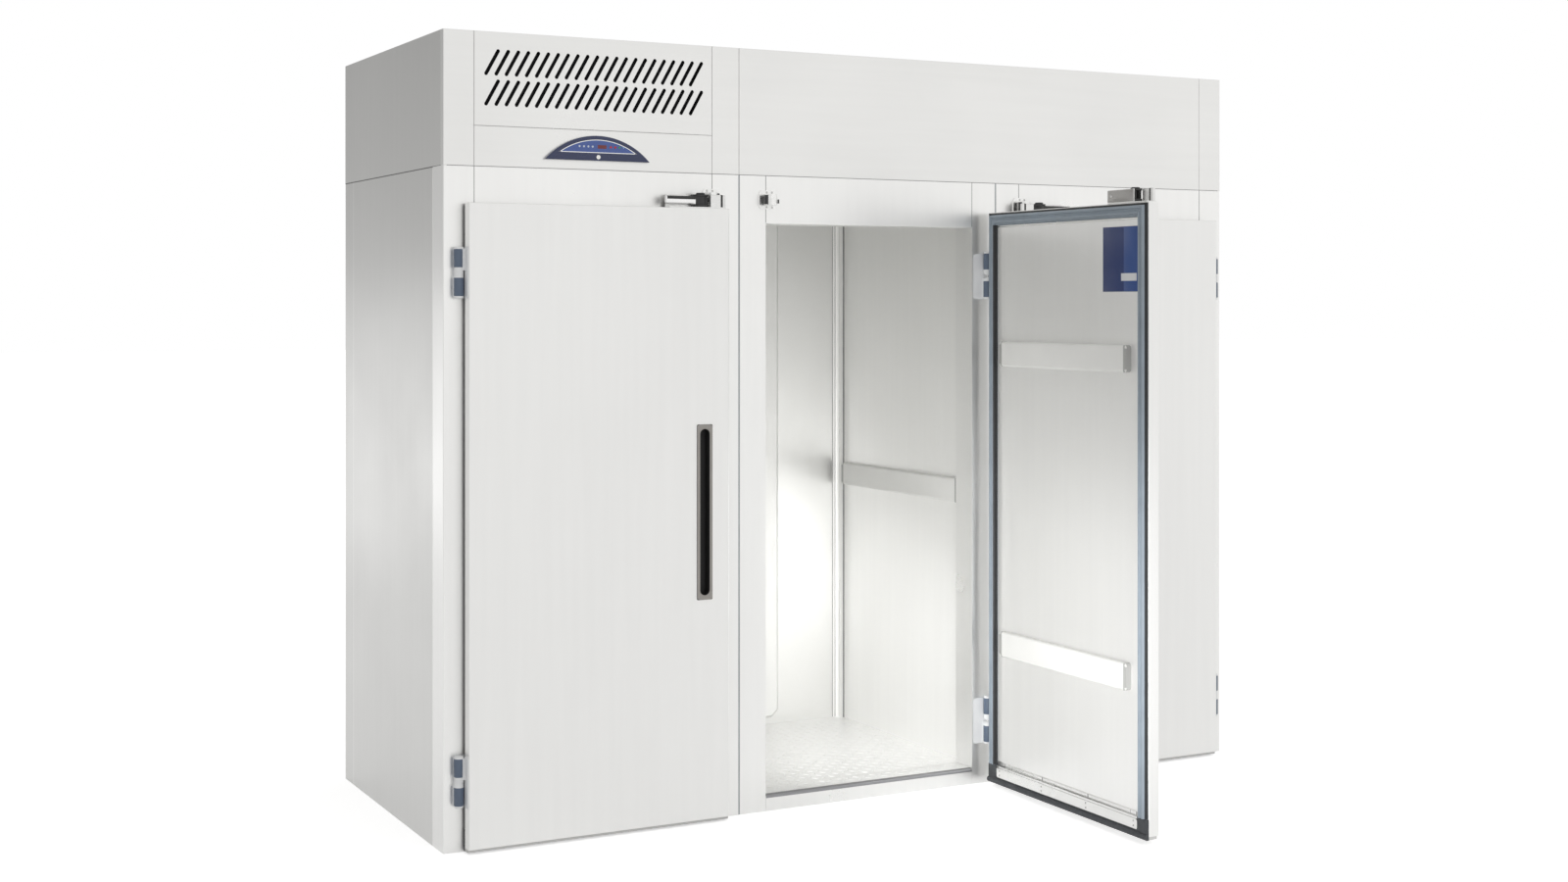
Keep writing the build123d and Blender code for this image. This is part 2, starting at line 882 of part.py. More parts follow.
def pipe_line(port_x, radius, level, along, stub_x):
    """One line: up out of the compressor, back to the header, and down into each box."""
    start = (port_x, compressor_y, port_z)
    with BuildPart() as line:
        with BuildLine() as run:
            turn = (port_x, compressor_y, level)
            FilletPolyline(start, turn, (port_x, along, level), radius=pipe_bend)
        with BuildSketch(Plane(origin=start, z_dir=(0, 0, 1))):
            Circle(radius)
        sweep(path=run.line)
        header = (centres[0] + stub_x - header_end, centres[-1] + stub_x + header_end)
        with BuildSketch(Plane.YZ.offset(header[0])):
            with Locations((along, level)):
                Circle(radius + header_swell)
        extrude(amount=header[1] - header[0])
        with BuildSketch(Plane.XY.offset(box_top)):
            with Locations(*[(x + stub_x, along) for x in centres]):
                Circle(radius)
        extrude(amount=level - box_top)
    return line.part


suction = pipe_line(compressor_x + port_offset, *suction_line)
liquid = pipe_line(compressor_x - port_offset, *liquid_line)
save(group([suction, liquid]), "refrigerant_pipes")

# Cam-lift hinges about the origin, hinge line along Z, door towards +X


def knuckle(low, high, upper):
    """A hinge barrel cut by the slanted cam face, keeping its upper or lower part."""
    gap = cam_gap / 2 if upper else -cam_gap / 2
    with BuildPart() as barrel:
        with BuildSketch(Plane.XY.offset(low)):
            Circle(knuckle_radius)
        extrude(amount=high - low)
        end = barrel.faces().sort_by(Axis.Z)[-1 if upper else 0]
        chamfer(end.edges(), knuckle_break)
        slant = Plane.XY.offset(gap).rotated((0, cam_slope, 0))
        split(bisect_by=slant, keep=Keep.TOP if upper else Keep.BOTTOM)
    return barrel.part


def frame_hinge():
    """Fixed half: leaf let into the post, neck and lower knuckle with the pin's bore."""
    with BuildPart() as fixed:
        with BuildSketch(Plane.XZ.offset(-hinge_forward)):
            add(cut_cornered(leaf_width, 2 * hinge_half, leaf_corner, [(leaf_middle, 0)]))
        extrude(amount=-leaf_thick)
        block(
            (-neck_half, neck_half),
            (0, hinge_forward),
            (-hinge_half + neck_foot, -cam_rise - bite),
        )
        add(knuckle(-hinge_half, cam_rise + bite, False))
        with BuildSketch(Plane.XY.offset(pin_foot)):
            Circle(pin_radius + pin_fit)
        extrude(amount=hinge_half, mode=Mode.SUBTRACT)
    return fixed.part


def door_hinge():
    """Moving half: plate on the door's edge, web and upper knuckle with the pin's bore."""
    with BuildPart() as moving:
        with BuildSketch(Plane.YZ.offset(door_left)):
            with Locations(((face_y + skin_y) / 2, 0)):
                add(cut_cornered(door_thickness - 2 * plate_margin, 2 * hinge_half, plate_corner))
        extrude(amount=-plate_thick)
        block((neck_foot, door_left - bite), web_y, (cam_rise + bite, hinge_half - web_inset))
        add(knuckle(-cam_rise - bite, hinge_half, True))
        with BuildSketch(Plane.XY.offset(-cam_rise - bite)):
            Circle(pin_radius + pin_fit)
        extrude(amount=cam_rise + bite + hinge_half - pin_cover, mode=Mode.SUBTRACT)
    return moving.part


def hinge_pin():
    """The pin that joins the knuckles, standing on the floor of the lower bore."""
    with BuildPart() as pin:
        with BuildSketch(Plane.XY.offset(pin_foot)):
            Circle(pin_radius)
        extrude(amount=hinge_half - pin_cover - pin_room - pin_foot)
        chamfer(pin.faces().sort_by(Axis.Z)[-1].edges(), pin_break)
    return pin.part


def at_both_heights(shape):
    """The same hinge piece at the lower and the upper hinge of a door."""
    return group([Pos(0, 0, height_z) * shape for height_z in hinge_heights])


fixed_pair = at_both_heights(frame_hinge())
frame_hinges = [hang(fixed_pair, door, door.hinge_line).part for door in doors]
save(group(frame_hinges), "frame_hinges")

# Latch strikes on the posts beside each door's free edge

strike_middle = door_top + strike_gap + strike_plate_tall / 2


def strike():
    """Plate on the frame, a wedge-nosed block, the roller at its side and the nose stop."""
    block_x = (pivot_x + strike_block_x[0], pivot_x + strike_block_x[1])
    low = strike_middle - strike_block_tall / 2
    seat_y = hinge_forward - strike_plate_thick
    nose_y = latch_y + bite
    with BuildPart() as body:
        with BuildSketch(Plane.XZ.offset(-hinge_forward)):
            with Locations((pivot_x + sum(strike_plate_x) / 2, strike_middle)):
                wide = strike_plate_x[1] - strike_plate_x[0]
                add(cut_cornered(wide, strike_plate_tall, leaf_corner))
        extrude(amount=strike_plate_thick)
        with BuildSketch(Plane.XY.offset(low)):
            with BuildLine():
                Polyline(
                    (block_x[0], seat_y),
                    (block_x[0], nose_y + strike_nose),
                    (block_x[0] + strike_nose, nose_y),
                    (block_x[1] - strike_nose, nose_y),
                    (block_x[1], nose_y + strike_nose),
                    (block_x[1], seat_y),
                    close=True,
                )
            make_face()
        extrude(amount=strike_block_tall)
        with BuildSketch(Plane.XY.offset(low + roller_end)):
            with Locations((pivot_x + strike_roller_x, latch_y + roller_back)):
                Circle(roller_radius)
        extrude(amount=strike_block_tall - 2 * roller_end)
        block(
            (block_x[0] + stop_x[0], block_x[0] + stop_x[1]),
            (latch_y + stop_y[0], latch_y + stop_y[1]),
            (low + stop_z[0], low + stop_z[1]),
        )
    return body.part


save(
    group([hang(strike(), door, door.hinge_line).part for door in doors]),
    "strikes",
)

# Doors, each built closed about its hinge line and then hung

door_mid_x = (door_left + door_right) / 2
handle_x = door_right - handle_inset
recess_height = handle_height - 2 * handle_end


def door_panel():
    """Foamed slab: pan skin, core and liner as one, with the pocket for the handle."""
    with BuildPart() as panel:
        with BuildSketch(Plane.XZ.offset(-face_y)):
            with Locations((door_mid_x, (door_bottom + door_top) / 2)):
                Rectangle(door_width, door_top - door_bottom)
        extrude(amount=door_thickness)
        fillet(panel.faces().sort_by(Axis.Y)[0].edges(), door_corner)
        chamfer(panel.faces().sort_by(Axis.Y)[-1].edges(), edge_break)
        with BuildSketch(Plane.XZ.offset(-skin_y)):
            with Locations((handle_x, handle_centre)):
                outer = recess_width + 2 * handle_wall
                SlotOverall(recess_height + 2 * handle_wall, outer, rotation=90)
        extrude(amount=-recess_depth - handle_wall, mode=Mode.SUBTRACT)
    return panel.part


def handle_cup():
    """Flat surround with a round-ended finger recess sunk into the door."""
    with BuildPart() as cup:
        with BuildSketch(Plane.XZ.offset(-skin_y)):
            with Locations((handle_x, handle_centre)):
                RectangleRounded(handle_width, handle_height, handle_round)
        extrude(amount=handle_wall)
        chamfer(cup.faces().sort_by(Axis.Y)[0].edges(), handle_break)
        with BuildSketch(Plane.XZ.offset(-skin_y)):
            with Locations((handle_x, handle_centre)):
                outer = recess_width + 2 * handle_wall
                SlotOverall(recess_height + 2 * handle_wall, outer, rotation=90)
        extrude(amount=-recess_depth - handle_wall)
        with BuildSketch(Plane.XZ.offset(-skin_y + handle_wall)):
            with Locations((handle_x, handle_centre)):
                SlotOverall(recess_height, recess_width, rotation=90)
        extrude(amount=-recess_depth - handle_wall, mode=Mode.SUBTRACT)
    return cup.part


def gasket():
    """Bellows gasket with three ribs, mitred at the top corners, open at the sweep."""
    middle = gasket_inset + gasket_width / 2
    left, right, top = door_left + middle, door_right - middle, door_top - middle
    deep = gasket_gap - gasket_clearance
    edge = gasket_width / 2
    neck = edge - gasket_neck
    start = (left, face_y, sweep_top + 2)
    profile = [
        (groove_floor, deep - groove_depth),
        (groove_top, deep),
        (edge - gasket_lip, deep),
        (neck, deep - gasket_slope),
        (neck, gasket_neck),
        (edge, gasket_foot),
        (edge, 0),
    ]
    with BuildPart() as seal:
        with BuildLine() as path:
            Polyline(
                start,
                (left, face_y, top),
                (right, face_y, top),
                (right, face_y, sweep_top + 2),
            )
        with BuildSketch(Plane(start, (1, 0, 0), (0, 0, 1))):
            with BuildLine():
                Polyline(*profile, *[(-x, y) for x, y in reversed(profile)], close=True)
            make_face()
        sweep(path=path.line, transition=Transition.RIGHT)
    return seal.part


def door_rails():
    """Two bumper rails across the inner face."""
    length = door_width - 2 * rail_inset
    with BuildPart() as rails:
        for rail_z in door_rail_heights:
            with Locations(Location((door_mid_x, face_y, rail_z), (0, 0, 180))):
                add(bumper_rail(length))
    return rails.part


def door_sweep():
    """Rubber seal along the bottom: a flat back with a rounded toe towards the sill."""
    toe = hinge_forward - gasket_clearance
    toe_top = strip_bottom - toe_gap
    toe_round = (toe_top - sweep_bottom) / 2
    toe_root = toe - toe_round
    with BuildPart() as rubber:
        with BuildSketch(Plane.YZ.offset(door_left)):
            with BuildLine():
                Polyline(
                    (toe_root, sweep_bottom),
                    (skin_y + sweep_back, sweep_bottom + sweep_rise),
                    (skin_y + sweep_back, door_bottom),
                    (face_y, door_bottom),
                    (face_y, sweep_top),
                    (face_y + sweep_thick, sweep_top),
                    (face_y + sweep_thick, toe_top),
                    (toe_root, toe_top),
                )
                ThreePointArc(
                    (toe_root, toe_top),
                    (toe, sweep_bottom + toe_round),
                    (toe_root, sweep_bottom),
                )
            make_face()
        extrude(amount=door_width)
    return rubber.part


def sweep_strip():
    """Round-ended steel strip that clamps the sweep to the door."""
    with BuildPart() as strip:
        with BuildSketch(Plane.XZ.offset(-face_y - sweep_thick)):
            with Locations((door_mid_x, (strip_bottom + strip_top) / 2)):
                SlotOverall(door_width - 2 * strip_end, strip_top - strip_bottom)
        extrude(amount=-strip_thick)
        chamfer(strip.faces().sort_by(Axis.Y)[-1].edges(), strip_break)
    return strip.part


def latch_case():
    """Angle bracket on the door's top edge, cheeks that hold the lever, and a front guard."""
    low = door_top
    foot = low + latch_plate
    plate_front = skin_y + door_corner
    guard = (pivot_x + guard_x[0], pivot_x + guard_x[1])
    with BuildPart() as case:
        block((bracket_x, guard[1]), (plate_front, face_y), (low, foot))
        upright_x = (bracket_x, pivot_x + bracket_end)
        block(upright_x, (face_y - latch_plate, face_y), (foot, low + latch_height))
        upright = case.edges().filter_by(Axis.Y).group_by(Axis.Z)[-1]
        fillet(upright.sort_by(Axis.X)[0], bracket_round)
        for level in cheek_levels:
            with BuildSketch(Plane.XY.offset(low + level[0])):
                with BuildLine():
                    Polyline(
                        (case_x[0], face_y),
                        (case_x[0], latch_y - 2),
                        (pivot_x - hub_radius, plate_front),
                        (pivot_x + hub_radius, plate_front),
                        (case_x[1], latch_y - 4),
                        (case_x[1], latch_y + 2),
                        (pivot_x + cheek_foot, face_y),
                        close=True,
                    )
                make_face()
            extrude(amount=level[1] - level[0])
        with BuildSketch(Plane.XY.offset(foot)):
            with Locations((pivot_x, latch_y)):
                Circle(latch_pin)
            with Locations((sum(guard) / 2, plate_front + guard_depth / 2)):
                SlotOverall(guard[1] - guard[0], guard_depth)
        extrude(amount=latch_height - latch_plate)
        top_rim = case.faces().group_by(Axis.Z)[-1].edges()
        chamfer(top_rim.filter_by_position(Axis.X, guard[0] - 1, guard[1] + 1), guard_break)
    return case.part


def latch_lever():
    """Lever with its hub, a long rounded pull and a short tongue facing the stop."""
    low, high = door_top + lever_levels[0], door_top + lever_levels[1]
    tip = pivot_x - latch_arm
    with BuildPart() as lever:
        with BuildSketch(Plane.XY.offset(low)):
            with Locations((pivot_x, latch_y)):
                Circle(hub_radius)
            with BuildLine():
                Polyline((pivot_x, latch_y + 8), (pivot_x - 24, latch_y + 5), (tip, latch_y - 2))
                ThreePointArc(
                    (tip, latch_y - 2), (tip - 6, latch_y - 8), (tip, latch_y - 14)
                )
                Polyline((tip, latch_y - 14), (pivot_x - 20, latch_y - 10), (pivot_x, latch_y - 13))
                Line((pivot_x, latch_y - 13), (pivot_x, latch_y + 8))
            make_face()
            with BuildLine():
                Polyline(
                    (pivot_x, latch_y - 8),
                    (pivot_x + tongue, latch_y - tongue_half),
                    (pivot_x + tongue, latch_y + tongue_half),
                    (pivot_x, latch_y + 8),
                    close=True,
                )
            make_face()
        extrude(amount=high - low)
        outline = lever.faces().filter_by(Axis.Z).edges()
        chamfer(outline.filter_by_position(Axis.X, tip - 20, pivot_x - 22), pull_break)
        with BuildSketch(Plane.XY.offset(low)):
            with Locations((pivot_x, latch_y)):
                Circle(latch_pin + latch_fit)
        extrude(amount=high - low, mode=Mode.SUBTRACT)
    return lever.part


door_pieces = {
    "door_panel": door_panel(),
    "handle_cup": handle_cup(),
    "gasket": gasket(),
    "door_rails": door_rails(),
    "door_sweep": door_sweep(),
    "sweep_strip": sweep_strip(),
    "door_hinges": at_both_heights(door_hinge()),
    "latch_case": latch_case(),
    "latch_lever": latch_lever(),
}
pin_pair = at_both_heights(hinge_pin())
for door in doors:
    for kind, shape in door_pieces.items():
        save(hang(shape, door, door.place).part, f"{kind}_{door.number}")
    save(hang(pin_pair, door, door.turned).part, f"hinge_pins_{door.number}")

print(len(written), "nodes")
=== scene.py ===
import itertools
import math

import bmesh
import bpy
from mathutils import Matrix, Vector


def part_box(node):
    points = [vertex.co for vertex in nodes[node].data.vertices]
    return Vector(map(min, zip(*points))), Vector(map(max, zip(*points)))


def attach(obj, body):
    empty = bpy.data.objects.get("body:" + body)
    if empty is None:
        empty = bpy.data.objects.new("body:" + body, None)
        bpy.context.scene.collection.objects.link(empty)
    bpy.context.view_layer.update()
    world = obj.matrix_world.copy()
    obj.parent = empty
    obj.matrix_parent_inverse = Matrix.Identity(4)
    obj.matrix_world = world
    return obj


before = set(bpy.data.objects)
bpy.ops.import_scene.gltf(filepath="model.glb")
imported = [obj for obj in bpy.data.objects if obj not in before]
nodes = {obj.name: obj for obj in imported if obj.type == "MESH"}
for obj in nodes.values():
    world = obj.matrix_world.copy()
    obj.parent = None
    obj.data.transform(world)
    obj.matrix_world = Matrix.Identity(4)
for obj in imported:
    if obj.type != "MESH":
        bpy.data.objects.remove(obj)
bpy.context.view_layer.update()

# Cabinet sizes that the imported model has, in metres: its front looks along -Y
WIDTH, DEPTH = 2.760, 1.005
FRONT, BACK = -DEPTH / 2, DEPTH / 2
MODULE = 0.920
COLD_HEIGHT = 1.920
POST = 0.090
# Thickness of the back panels and of the front frame, and of the two walls between bays
PANEL = 0.095
INNER_WALLS = 0.120
FLOOR_TOP, CEILING = 0.048, 1.860
SILL_TOP, OPENING_TOP = 0.050, 1.775
COVE = 0.035
BAY_HALF = (MODULE - INNER_WALLS) / 2
OPENING_HALF = (MODULE - 2 * POST) / 2
BAY_FRONT, WALL_BACK = FRONT + PANEL, BACK - PANEL
CENTRES = {1: -MODULE, 2: 0.0, 3: MODULE}

# Door sizes, in the frame of a left-hand door that is closed: the hinge line is at X = 0
DOOR_WIDTH, DOOR_LEFT = 0.804, 0.018
DOOR_RIGHT = DOOR_LEFT + DOOR_WIDTH
DOOR_MIDDLE = (DOOR_LEFT + DOOR_RIGHT) / 2
DOOR_TOP = 1.815
DOOR_OVERLAP = 0.032
FACE_Y, SKIN_Y = 0.001, -0.036
AXIS_Y = FRONT - 0.016
HINGE_HEIGHTS = (0.200, 1.620)
# A door's rise on its cam for each radian, its hand (1 is left) and how far it stands open
LIFT = 0.008 / math.radians(90)
HANDS = {1: 1, 2: -1, 3: -1}
ANGLES = {1: 0.0, 2: math.radians(90), 3: 0.0}

# Latch and strike, in the same frame
PIVOT_X = DOOR_RIGHT - 0.087
LATCH_Y = SKIN_Y + 0.017
LATCH_TOP = DOOR_TOP + 0.040
STRIKE_MIDDLE = DOOR_TOP + 0.0315


def door_matrix(n, turned=True):
    """From a left-hand door's own frame, closed, to where door n is in the world."""
    hand = HANDS[n]
    angle = ANGLES[n] if turned else 0.0
    axis_x = CENTRES[n] - hand * (MODULE / 2 - POST + DOOR_OVERLAP + DOOR_LEFT)
    place = Matrix.Translation((axis_x, AXIS_Y, LIFT * angle))
    return place @ Matrix.Rotation(-hand * angle, 4, "Z") @ Matrix.Diagonal((hand, 1, 1, 1))


def world_box(n, low, high, turned=True):
    """A box in a door's own frame, as its lowest and highest corners in the world."""
    matrix = door_matrix(n, turned)
    corners = [matrix @ Vector(corner) for corner in itertools.product(*zip(low, high))]
    lowest = [min(corner[i] for corner in corners) for i in range(3)]
    highest = [max(corner[i] for corner in corners) for i in range(3)]
    return lowest, highest


# Shader nodes

# Places of a Mix node's two inputs and of its output, for each kind of data
MIX_PLACES = {"RGBA": (6, 7, 2), "FLOAT": (2, 3, 0)}


def add_node(tree, kind, **values):
    """A new node; each value goes to its property of that name, or else to its input."""
    node = tree.nodes.new(kind)
    for key, value in values.items():
        if hasattr(node, key):
            setattr(node, key, value)
        else:
            node.inputs[key].default_value = value
    return node


def maths(tree, operation, *values):
    """A maths node; each value is a number or another node's output."""
    node = add_node(tree, "ShaderNodeMath", operation=operation)
    for socket, value in zip(node.inputs, values):
        if isinstance(value, bpy.types.NodeSocket):
            tree.links.new(value, socket)
        else:
            socket.default_value = value
    return node.outputs[0]


def remap(tree, source, start, end, low, high, curve="LINEAR"):
    """Turns values between start and end into values between low and high."""
    node = add_node(tree, "ShaderNodeMapRange", interpolation_type=curve)
    limits = {"From Min": start, "From Max": end, "To Min": low, "To Max": high}
    for key, value in limits.items():
        node.inputs[key].default_value = value
    tree.links.new(source, node.inputs["Value"])
    return node.outputs["Result"]


class Shader:
    """A Principled surface whose colour, roughness and relief come from procedural nodes."""

    def __init__(self, name, metallic=0.0, roughness=0.5, **sockets):
        self.material = bpy.data.materials.new(name)
        self.material.use_nodes = True
        self.tree = self.material.node_tree
        self.surface = self.tree.nodes["Principled BSDF"]
        self.surface.inputs["Metallic"].default_value = metallic
        self.surface.inputs["Roughness"].default_value = roughness
        for socket, value in sockets.items():
            self.surface.inputs[socket.replace("_", " ")].default_value = value
        self.place = self.add("ShaderNodeTexCoord").outputs["Object"]

    def add(self, kind, **values):
        return add_node(self.tree, kind, **values)

    def maths(self, operation, *values):
        return maths(self.tree, operation, *values)

    def link(self, a, b):
        self.tree.links.new(a, b)

    def stretched(self, scale):
        mapping = self.add("ShaderNodeMapping")
        mapping.inputs["Scale"].default_value = scale
        self.link(self.place, mapping.inputs["Vector"])
        return mapping.outputs["Vector"]

    def noise(self, scale, vector=None, detail=3.0):
        node = self.add("ShaderNodeTexNoise", Scale=scale, Detail=detail)
        self.link(vector or self.place, node.inputs["Vector"])
        return node.outputs["Fac"]

    def spread(self, fac, low, high, start=0.3, end=0.7):
        return remap(self.tree, fac, start, end, low, high)

    def tint(self, fac, dark, light):
        """A colour between dark and light."""
        node = self.add("ShaderNodeMix", data_type="RGBA")
        first, second, result = MIX_PLACES["RGBA"]
        self.link(fac, node.inputs[0])
        node.inputs[first].default_value = (*dark, 1)
        node.inputs[second].default_value = (*light, 1)
        return node.outputs[result]

    def blend(self, fac, output, value):
        """An output where fac is 0, and a plain colour or number where it is 1."""
        kind = "RGBA" if isinstance(value, tuple) else "FLOAT"
        node = self.add("ShaderNodeMix", data_type=kind)
        first, second, result = MIX_PLACES[kind]
        self.link(fac, node.inputs[0])
        self.link(output, node.inputs[first])
        node.inputs[second].default_value = (*value, 1) if kind == "RGBA" else value
        return node.outputs[result]

    def region(self, low, high):
        """1 inside a box of the object's own coordinates, 0 outside."""
        split = self.add("ShaderNodeSeparateXYZ")
        self.link(self.place, split.inputs[0])
        inside = None
        for axis, a, b in zip("XYZ", low, high):
            test = self.maths("COMPARE", split.outputs[axis], (a + b) / 2, abs(b - a) / 2)
            inside = test if inside is None else self.maths("MULTIPLY", inside, test)
        return inside

    def colour(self, output):
        self.link(output, self.surface.inputs["Base Color"])

    def rough(self, output):
        self.link(output, self.surface.inputs["Roughness"])

    def bump(self, height, strength, distance):
        node = self.add("ShaderNodeBump", Strength=strength, Distance=distance)
        self.link(height, node.inputs["Height"])
        self.link(node.outputs["Normal"], self.surface.inputs["Normal"])


# Kinds of material

LINES_ACROSS, LINES_ALONG = 700.0, 5.0
BANDS_ACROSS, BANDS_ALONG = 40.0, 1.5
LINE_SHARE = 0.35


def shade(colour, factor):
    return tuple(min(1.0, c * factor) for c in colour)


def drawn_out(grain, across, along):
    """A noise scale that draws the pattern out along one axis."""
    return tuple(along if axis == grain else across for axis in "XYZ")


def brushed(name, colour, roughness=0.33, grain="Z", metallic=1.0, wear=0.03, joints=()):
    """Satin stainless: fine lines along the grain, uneven sheen, and flat bands as (low, high, tone):
    painted highlights and dark joints.
    """
    s = Shader(name, metallic=metallic, roughness=roughness)
    lines = s.noise(1.0, s.stretched(drawn_out(grain, LINES_ACROSS, LINES_ALONG)), detail=4.0)
    bands = s.noise(1.0, s.stretched(drawn_out(grain, BANDS_ACROSS, BANDS_ALONG)), detail=2.0)
    smudge = s.noise(2.2, detail=5.0)
    tone = s.maths("MULTIPLY_ADD", lines, LINE_SHARE, s.spread(bands, 0.2, 0.5))
    steel = s.tint(tone, shade(colour, 1 - wear), shade(colour, 1 + wear))
    # The bands are flat tones: painted highlights along folds, and dark joints.
    for low, high, band_tone in joints:
        steel = s.blend(s.region(low, high), steel, band_tone)
    s.colour(steel)
    s.rough(s.spread(smudge, roughness - 0.04, roughness + 0.05))
    s.bump(lines, 0.10, 0.0002)
    return s.material


def plastic(name, colour, roughness=0.4, **sockets):
    s = Shader(name, roughness=roughness, **sockets)
    s.colour(s.tint(s.noise(7.0, detail=4.0), shade(colour, 0.93), shade(colour, 1.05)))
    s.rough(s.spread(s.noise(30.0), roughness - 0.05, roughness + 0.08))
    s.bump(s.noise(900.0, detail=2.0), 0.12, 0.0002)
    return s.material


def rubber(name, colour, roughness=0.6, pale=None):
    """Matt rubber; the box named in pale is painted light grey instead."""
    s = Shader(name, roughness=roughness)
    skin = s.tint(s.noise(18.0, detail=6.0), shade(colour, 0.85), shade(colour, 1.15))
    if pale:
        skin = s.blend(s.region(*pale), skin, PAINTED_LIGHT_GREY)
    s.colour(skin)
    s.rough(s.spread(s.noise(60.0), roughness - 0.1, roughness + 0.1))
    s.bump(s.noise(1400.0, detail=2.0), 0.2, 0.0002)
    return s.material


def polished(name, colour, roughness=0.12, black=()):
    """Bright metal; the boxes named in black are black instead: moulded plastic, and on the levers a
    painted dark reflection.
    """
    s = Shader(name, metallic=1.0, roughness=roughness)
    bright = s.tint(s.noise(40.0, detail=5.0), shade(colour, 0.94), shade(colour, 1.03))
    sheen = s.spread(s.noise(90.0, detail=4.0), roughness - 0.04, roughness + 0.10)
    if black:
        mask, *others = [s.region(low, high) for low, high in black]
        for other in others:
            mask = s.maths("MAXIMUM", mask, other)
        bright = s.blend(mask, bright, BLACK_AND_REFLECTION)
        sheen = s.blend(mask, sheen, BLACK_AND_REFLECTION_ROUGHNESS)
        s.link(s.maths("SUBTRACT", 1.0, mask), s.surface.inputs["Metallic"])
    s.colour(bright)
    s.rough(sheen)
    s.bump(s.noise(260.0, detail=2.0), 0.03, 0.0004)
    return s.material


def spangled(name, colour):
    """Galvanised sheet with its crystal pattern."""
    s = Shader(name, metallic=0.9, roughness=0.45)
    cells = s.add("ShaderNodeTexVoronoi", Scale=55.0)
    s.link(s.place, cells.inputs["Vector"])
    crystal = s.add("ShaderNodeSeparateColor")
    s.link(cells.outputs["Color"], crystal.inputs["Color"])
    s.colour(s.tint(crystal.outputs["Red"], shade(colour, 0.86), shade(colour, 1.08)))
    s.rough(s.spread(crystal.outputs["Green"], 0.36, 0.52, 0.0, 1.0))
    s.bump(s.noise(300.0), 0.05, 0.0003)
    return s.material


def painted(name, colour, roughness=0.35):
    s = Shader(name, roughness=roughness)
    s.colour(s.tint(s.noise(12.0, detail=5.0), shade(colour, 0.9), shade(colour, 1.08)))
    s.rough(s.spread(s.noise(45.0), roughness - 0.06, roughness + 0.10))
    s.bump(s.noise(420.0, detail=3.0), 0.10, 0.0003)
    return s.material


def finned(name, colour, pitch=0.0025):
    """Thin fins drawn close together along X."""
    s = Shader(name, metallic=0.9, roughness=0.42)
    wave = s.add("ShaderNodeTexWave", bands_direction="X", Scale=1 / (pitch * math.pi))
    s.link(s.place, wave.inputs["Vector"])
    s.colour(s.tint(wave.outputs["Fac"], shade(colour, 0.35), shade(colour, 1.05)))
    s.rough(s.spread(s.noise(60.0), 0.35, 0.5))
    s.bump(wave.outputs["Fac"], 0.5, 0.001)
    return s.material


# Side panels: a painted highlight line near each upright edge, for the light the fold there catches,
# and the dark joint under the housing

# The sides, back and top are the front's stainless in a darker grey: painted shade, for the lower
# light on the sides.
CABINET_SHADED_GREY = (0.70, 0.70, 0.69)
FOLD_INSET, FOLD_HALF, FOLD_HIGHLIGHT_TONE = 0.095, 0.0028, 1.2
JOINT_HALF, JOINT_TONE = 0.0016, 0.2
# Past the cabinet on every side
FAR = 2.0
# Painted highlights: a lighter tone along each fold.
side_highlights_and_joint = [
    ((-FAR, y - FOLD_HALF, -FAR), (FAR, y + FOLD_HALF, COLD_HEIGHT), shade(CABINET_SHADED_GREY, FOLD_HIGHLIGHT_TONE))
    for y in (FRONT + FOLD_INSET, BACK - FOLD_INSET)
]
joint_low = (-FAR, -FAR, COLD_HEIGHT - JOINT_HALF)
joint_high = (FAR, FAR, COLD_HEIGHT + JOINT_HALF)
side_highlights_and_joint.append((joint_low, joint_high, shade(CABINET_SHADED_GREY, JOINT_TONE)))

# Materials by name

WHITE_STEEL = (0.90, 0.90, 0.89)
# Pale grey painted on the sweep rubber under each door: painted light.
PAINTED_LIGHT_GREY = (0.62, 0.62, 0.61)
SWEEP_BLACK, SWEEP_ROUGHNESS = (0.050, 0.054, 0.060), 0.62
# Black for moulded parts, and for the painted dark reflection on each lever's grip
BLACK_AND_REFLECTION, BLACK_AND_REFLECTION_ROUGHNESS = (0.02, 0.02, 0.02), 0.35
# Painted shade: the cabinet's sides, back and top are darker than the same steel on the front.
cabinet_steel = brushed("cabinet_steel", CABINET_SHADED_GREY, 0.36, joints=side_highlights_and_joint)
frame_steel = brushed("frame_steel", WHITE_STEEL, 0.30, metallic=0.8)
door_steel = brushed("door_steel", WHITE_STEEL, 0.38, metallic=0.6)
liner_steel = brushed("liner_steel", (0.93, 0.93, 0.915), 0.44, metallic=0.5)
fascia_steel = brushed("fascia_steel", (0.80, 0.80, 0.79), 0.31, grain="X")
tread_steel = brushed("tread_steel", (0.93, 0.93, 0.92), 0.38, grain="Y", metallic=0.5)
strip_steel = brushed("strip_steel", (0.82, 0.82, 0.81), 0.28, grain="X")
# Dark grey for the sill nosings: painted shade along the sill's front edge.
threshold_painted_shade = brushed("threshold_painted_shade", (0.30, 0.30, 0.31), 0.34, grain="X")
bracket_grey = brushed("bracket_grey", (0.42, 0.41, 0.40), 0.34, grain="X")
rail_white = plastic("rail_white", (0.80, 0.80, 0.78), 0.38)
rail_grey = plastic("rail_grey", (0.42, 0.42, 0.41), 0.45)
handle_black = plastic("handle_black", (0.018, 0.018, 0.018), 0.42)
handle_bronze = painted("handle_bronze", (0.34, 0.32, 0.30), 0.38)
gasket_grey = rubber("gasket_grey", (0.29, 0.34, 0.39), 0.55)
